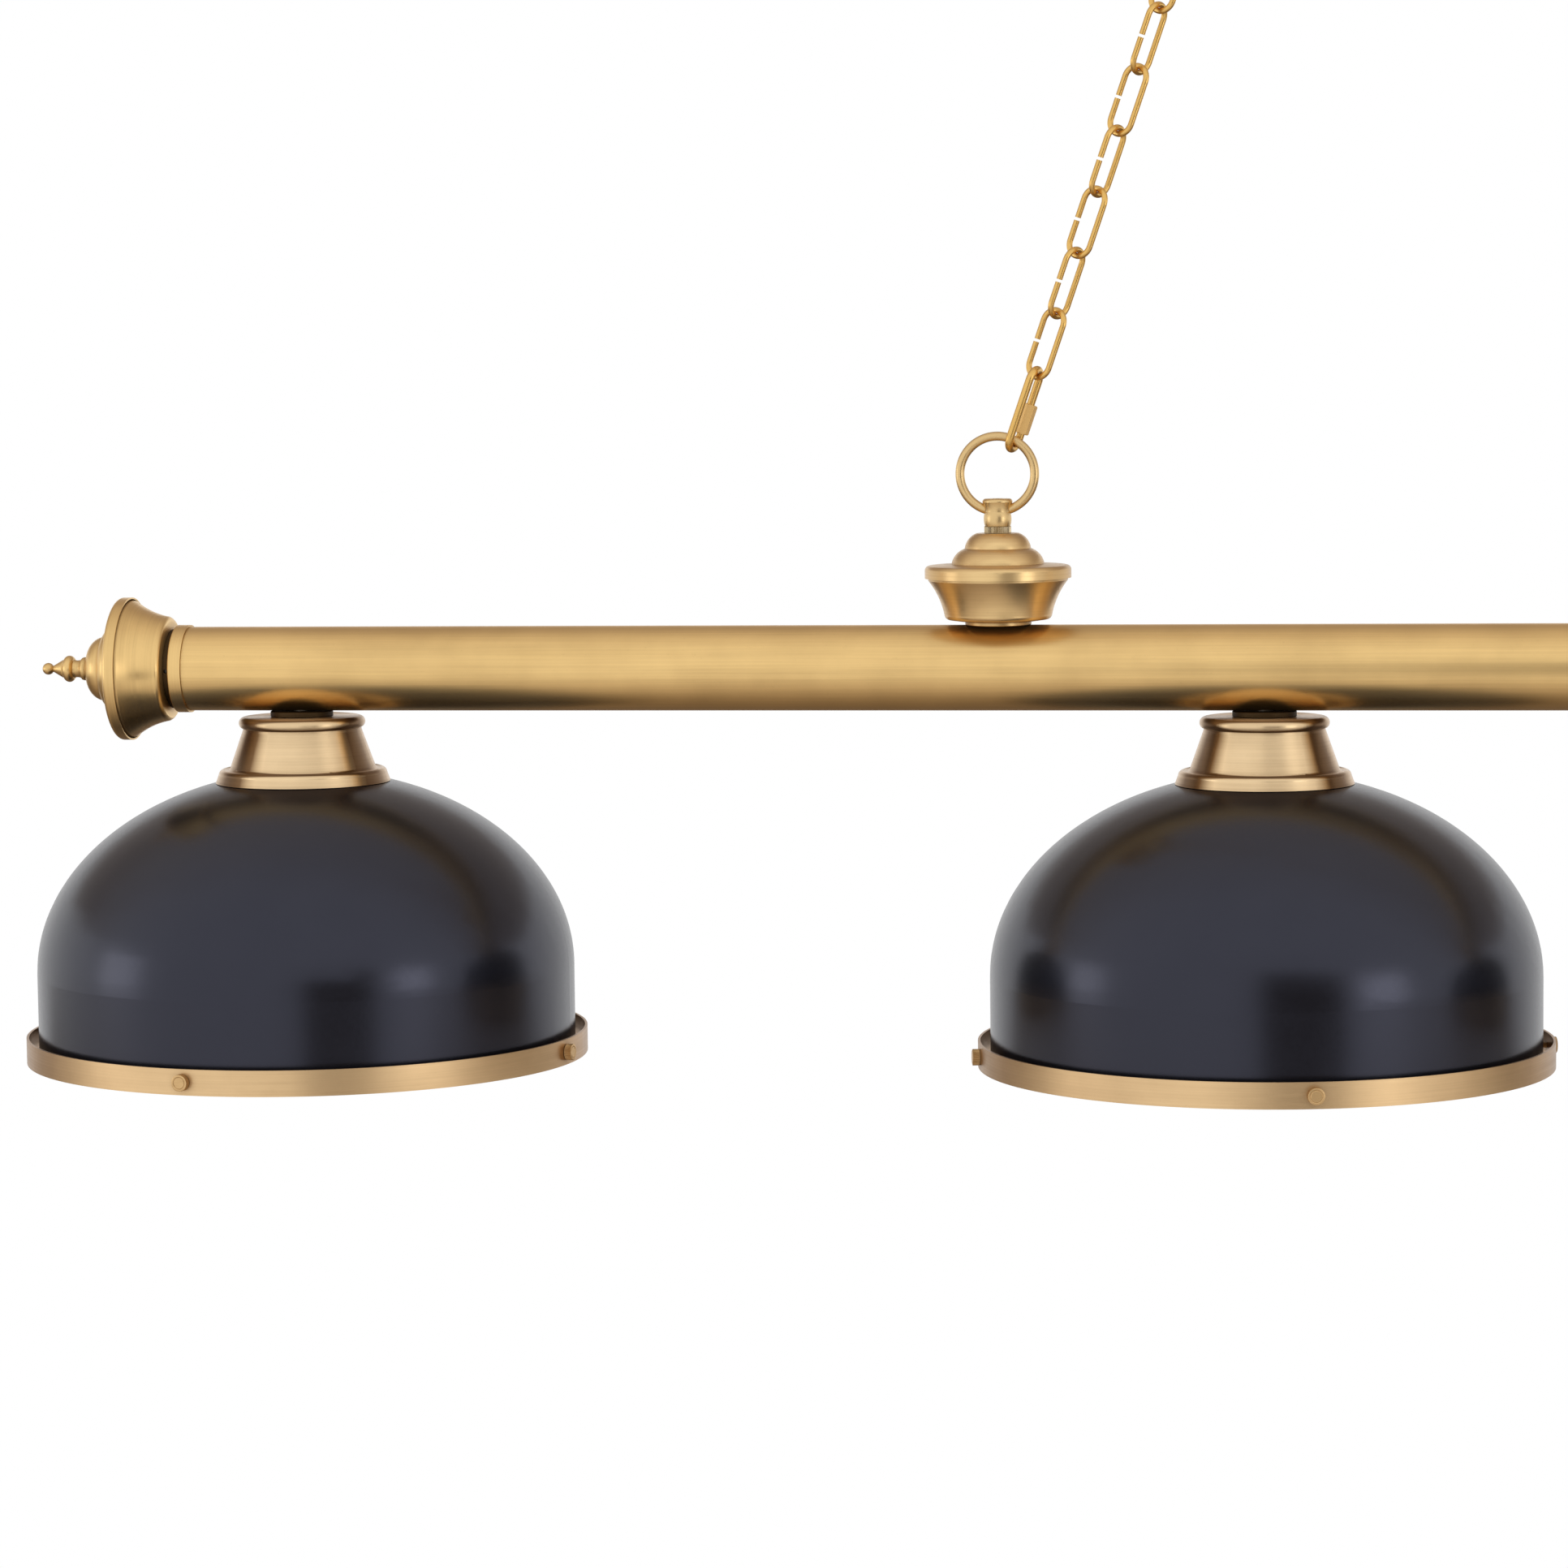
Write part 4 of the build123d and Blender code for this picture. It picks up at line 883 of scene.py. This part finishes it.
def add_card(name, place, turn, size, level, stops=None):
    """Card for reflections only; its level can follow stops from its low to its high Y edge."""
    begin()
    bpy.ops.mesh.primitive_plane_add(size=1.0)
    card = bpy.context.object
    card.name = name
    card.location = place
    card.rotation_euler = [math.radians(angle) for angle in turn]
    card.scale = (size[0], size[1], 1.0)
    for sight in ("camera", "diffuse", "shadow", "transmission"):
        setattr(card, "visible_" + sight, False)
    material = bpy.data.materials.new(name)
    material.use_nodes = True
    tree = material.node_tree
    glow = add(tree, "Emission", {"Color": warm(level)})
    if stops:
        across = add(tree, "SeparateXYZ", {0: add(tree, "TexCoord").outputs["Generated"]})
        tree.links.new(ramp(tree, across.outputs[1], stops), glow.inputs["Color"])
    tree.links.new(glow.outputs[0], tree.nodes["Material Output"].inputs["Surface"])
    card.data.materials.append(material)


def add_cards():
    """Ceiling and floor that dim to the back, a dark camera stand and a small white reflector."""
    flat, upright = (0, 0, 0), (90, 0, 0)
    add_card("ceiling_card", (0.0, 1.3, BAR.z + 1.5), flat, size=(12.0, 5.8), level=1.0,
             stops=[(0.0, 1.0), (0.17, 0.96), (0.28, 0.78), (0.5, 0.42), (1.0, 0.42)])
    add_card("floor_card", (0.0, 0.0, FLOOR_Z + 0.05), flat, size=(12.0, 6.4), level=1.0,
             stops=[(0.11, 0.95), (0.37, 0.62), (0.45, 0.43), (0.5, 0.3), (0.54, 0.22),
                    (0.67, 0.17)])
    add_card("camera_stand", (0.88, -3.2, BAR.z - 0.1), upright, size=(2.2, 2.0), level=0.12)
    add_card("end_reflector", (-0.62, -0.9, BAR.z + 0.13), upright, size=(0.6, 0.34), level=1.0)


def add_softboxes():
    """Two soft lights level with the bar, one to the right and one far to the left."""
    aim_z = BAR.z - 0.15
    add_softbox("softbox_right", (1.62, -1.56, BAR.z + 0.05), (-0.4, 0.0, aim_z), 0.8, watts=3.6)
    add_softbox("softbox_left", (-2.96, -0.76, BAR.z + 0.05), (-0.6, 0.0, aim_z), 0.8, watts=2.7)


def add_camera():
    """Camera a little above the bar, left of the middle."""
    yaw, pitch, roll = (math.radians(angle) for angle in CAMERA_TURNS)
    turn = (Matrix.Rotation(yaw, 3, "Z") @ Matrix.Rotation(pitch, 3, "X")
            @ Matrix.Rotation(roll, 3, "Y"))
    right, forward, up = turn.col
    facing = Matrix((right, up, -forward)).transposed().to_4x4()
    data = bpy.data.cameras.new("camera")
    data.sensor_width = 36.0
    data.lens = CAMERA_LENS
    data.clip_end = 200.0
    camera = bpy.data.objects.new("camera", data)
    camera.matrix_world = Matrix.Translation(CAMERA_PLACE) @ facing
    bpy.context.collection.objects.link(camera)
    bpy.context.scene.camera = camera


add_floor()
add_world()
add_cards()
add_softboxes()
add_camera()
bpy.context.scene.view_settings.view_transform = "Standard"
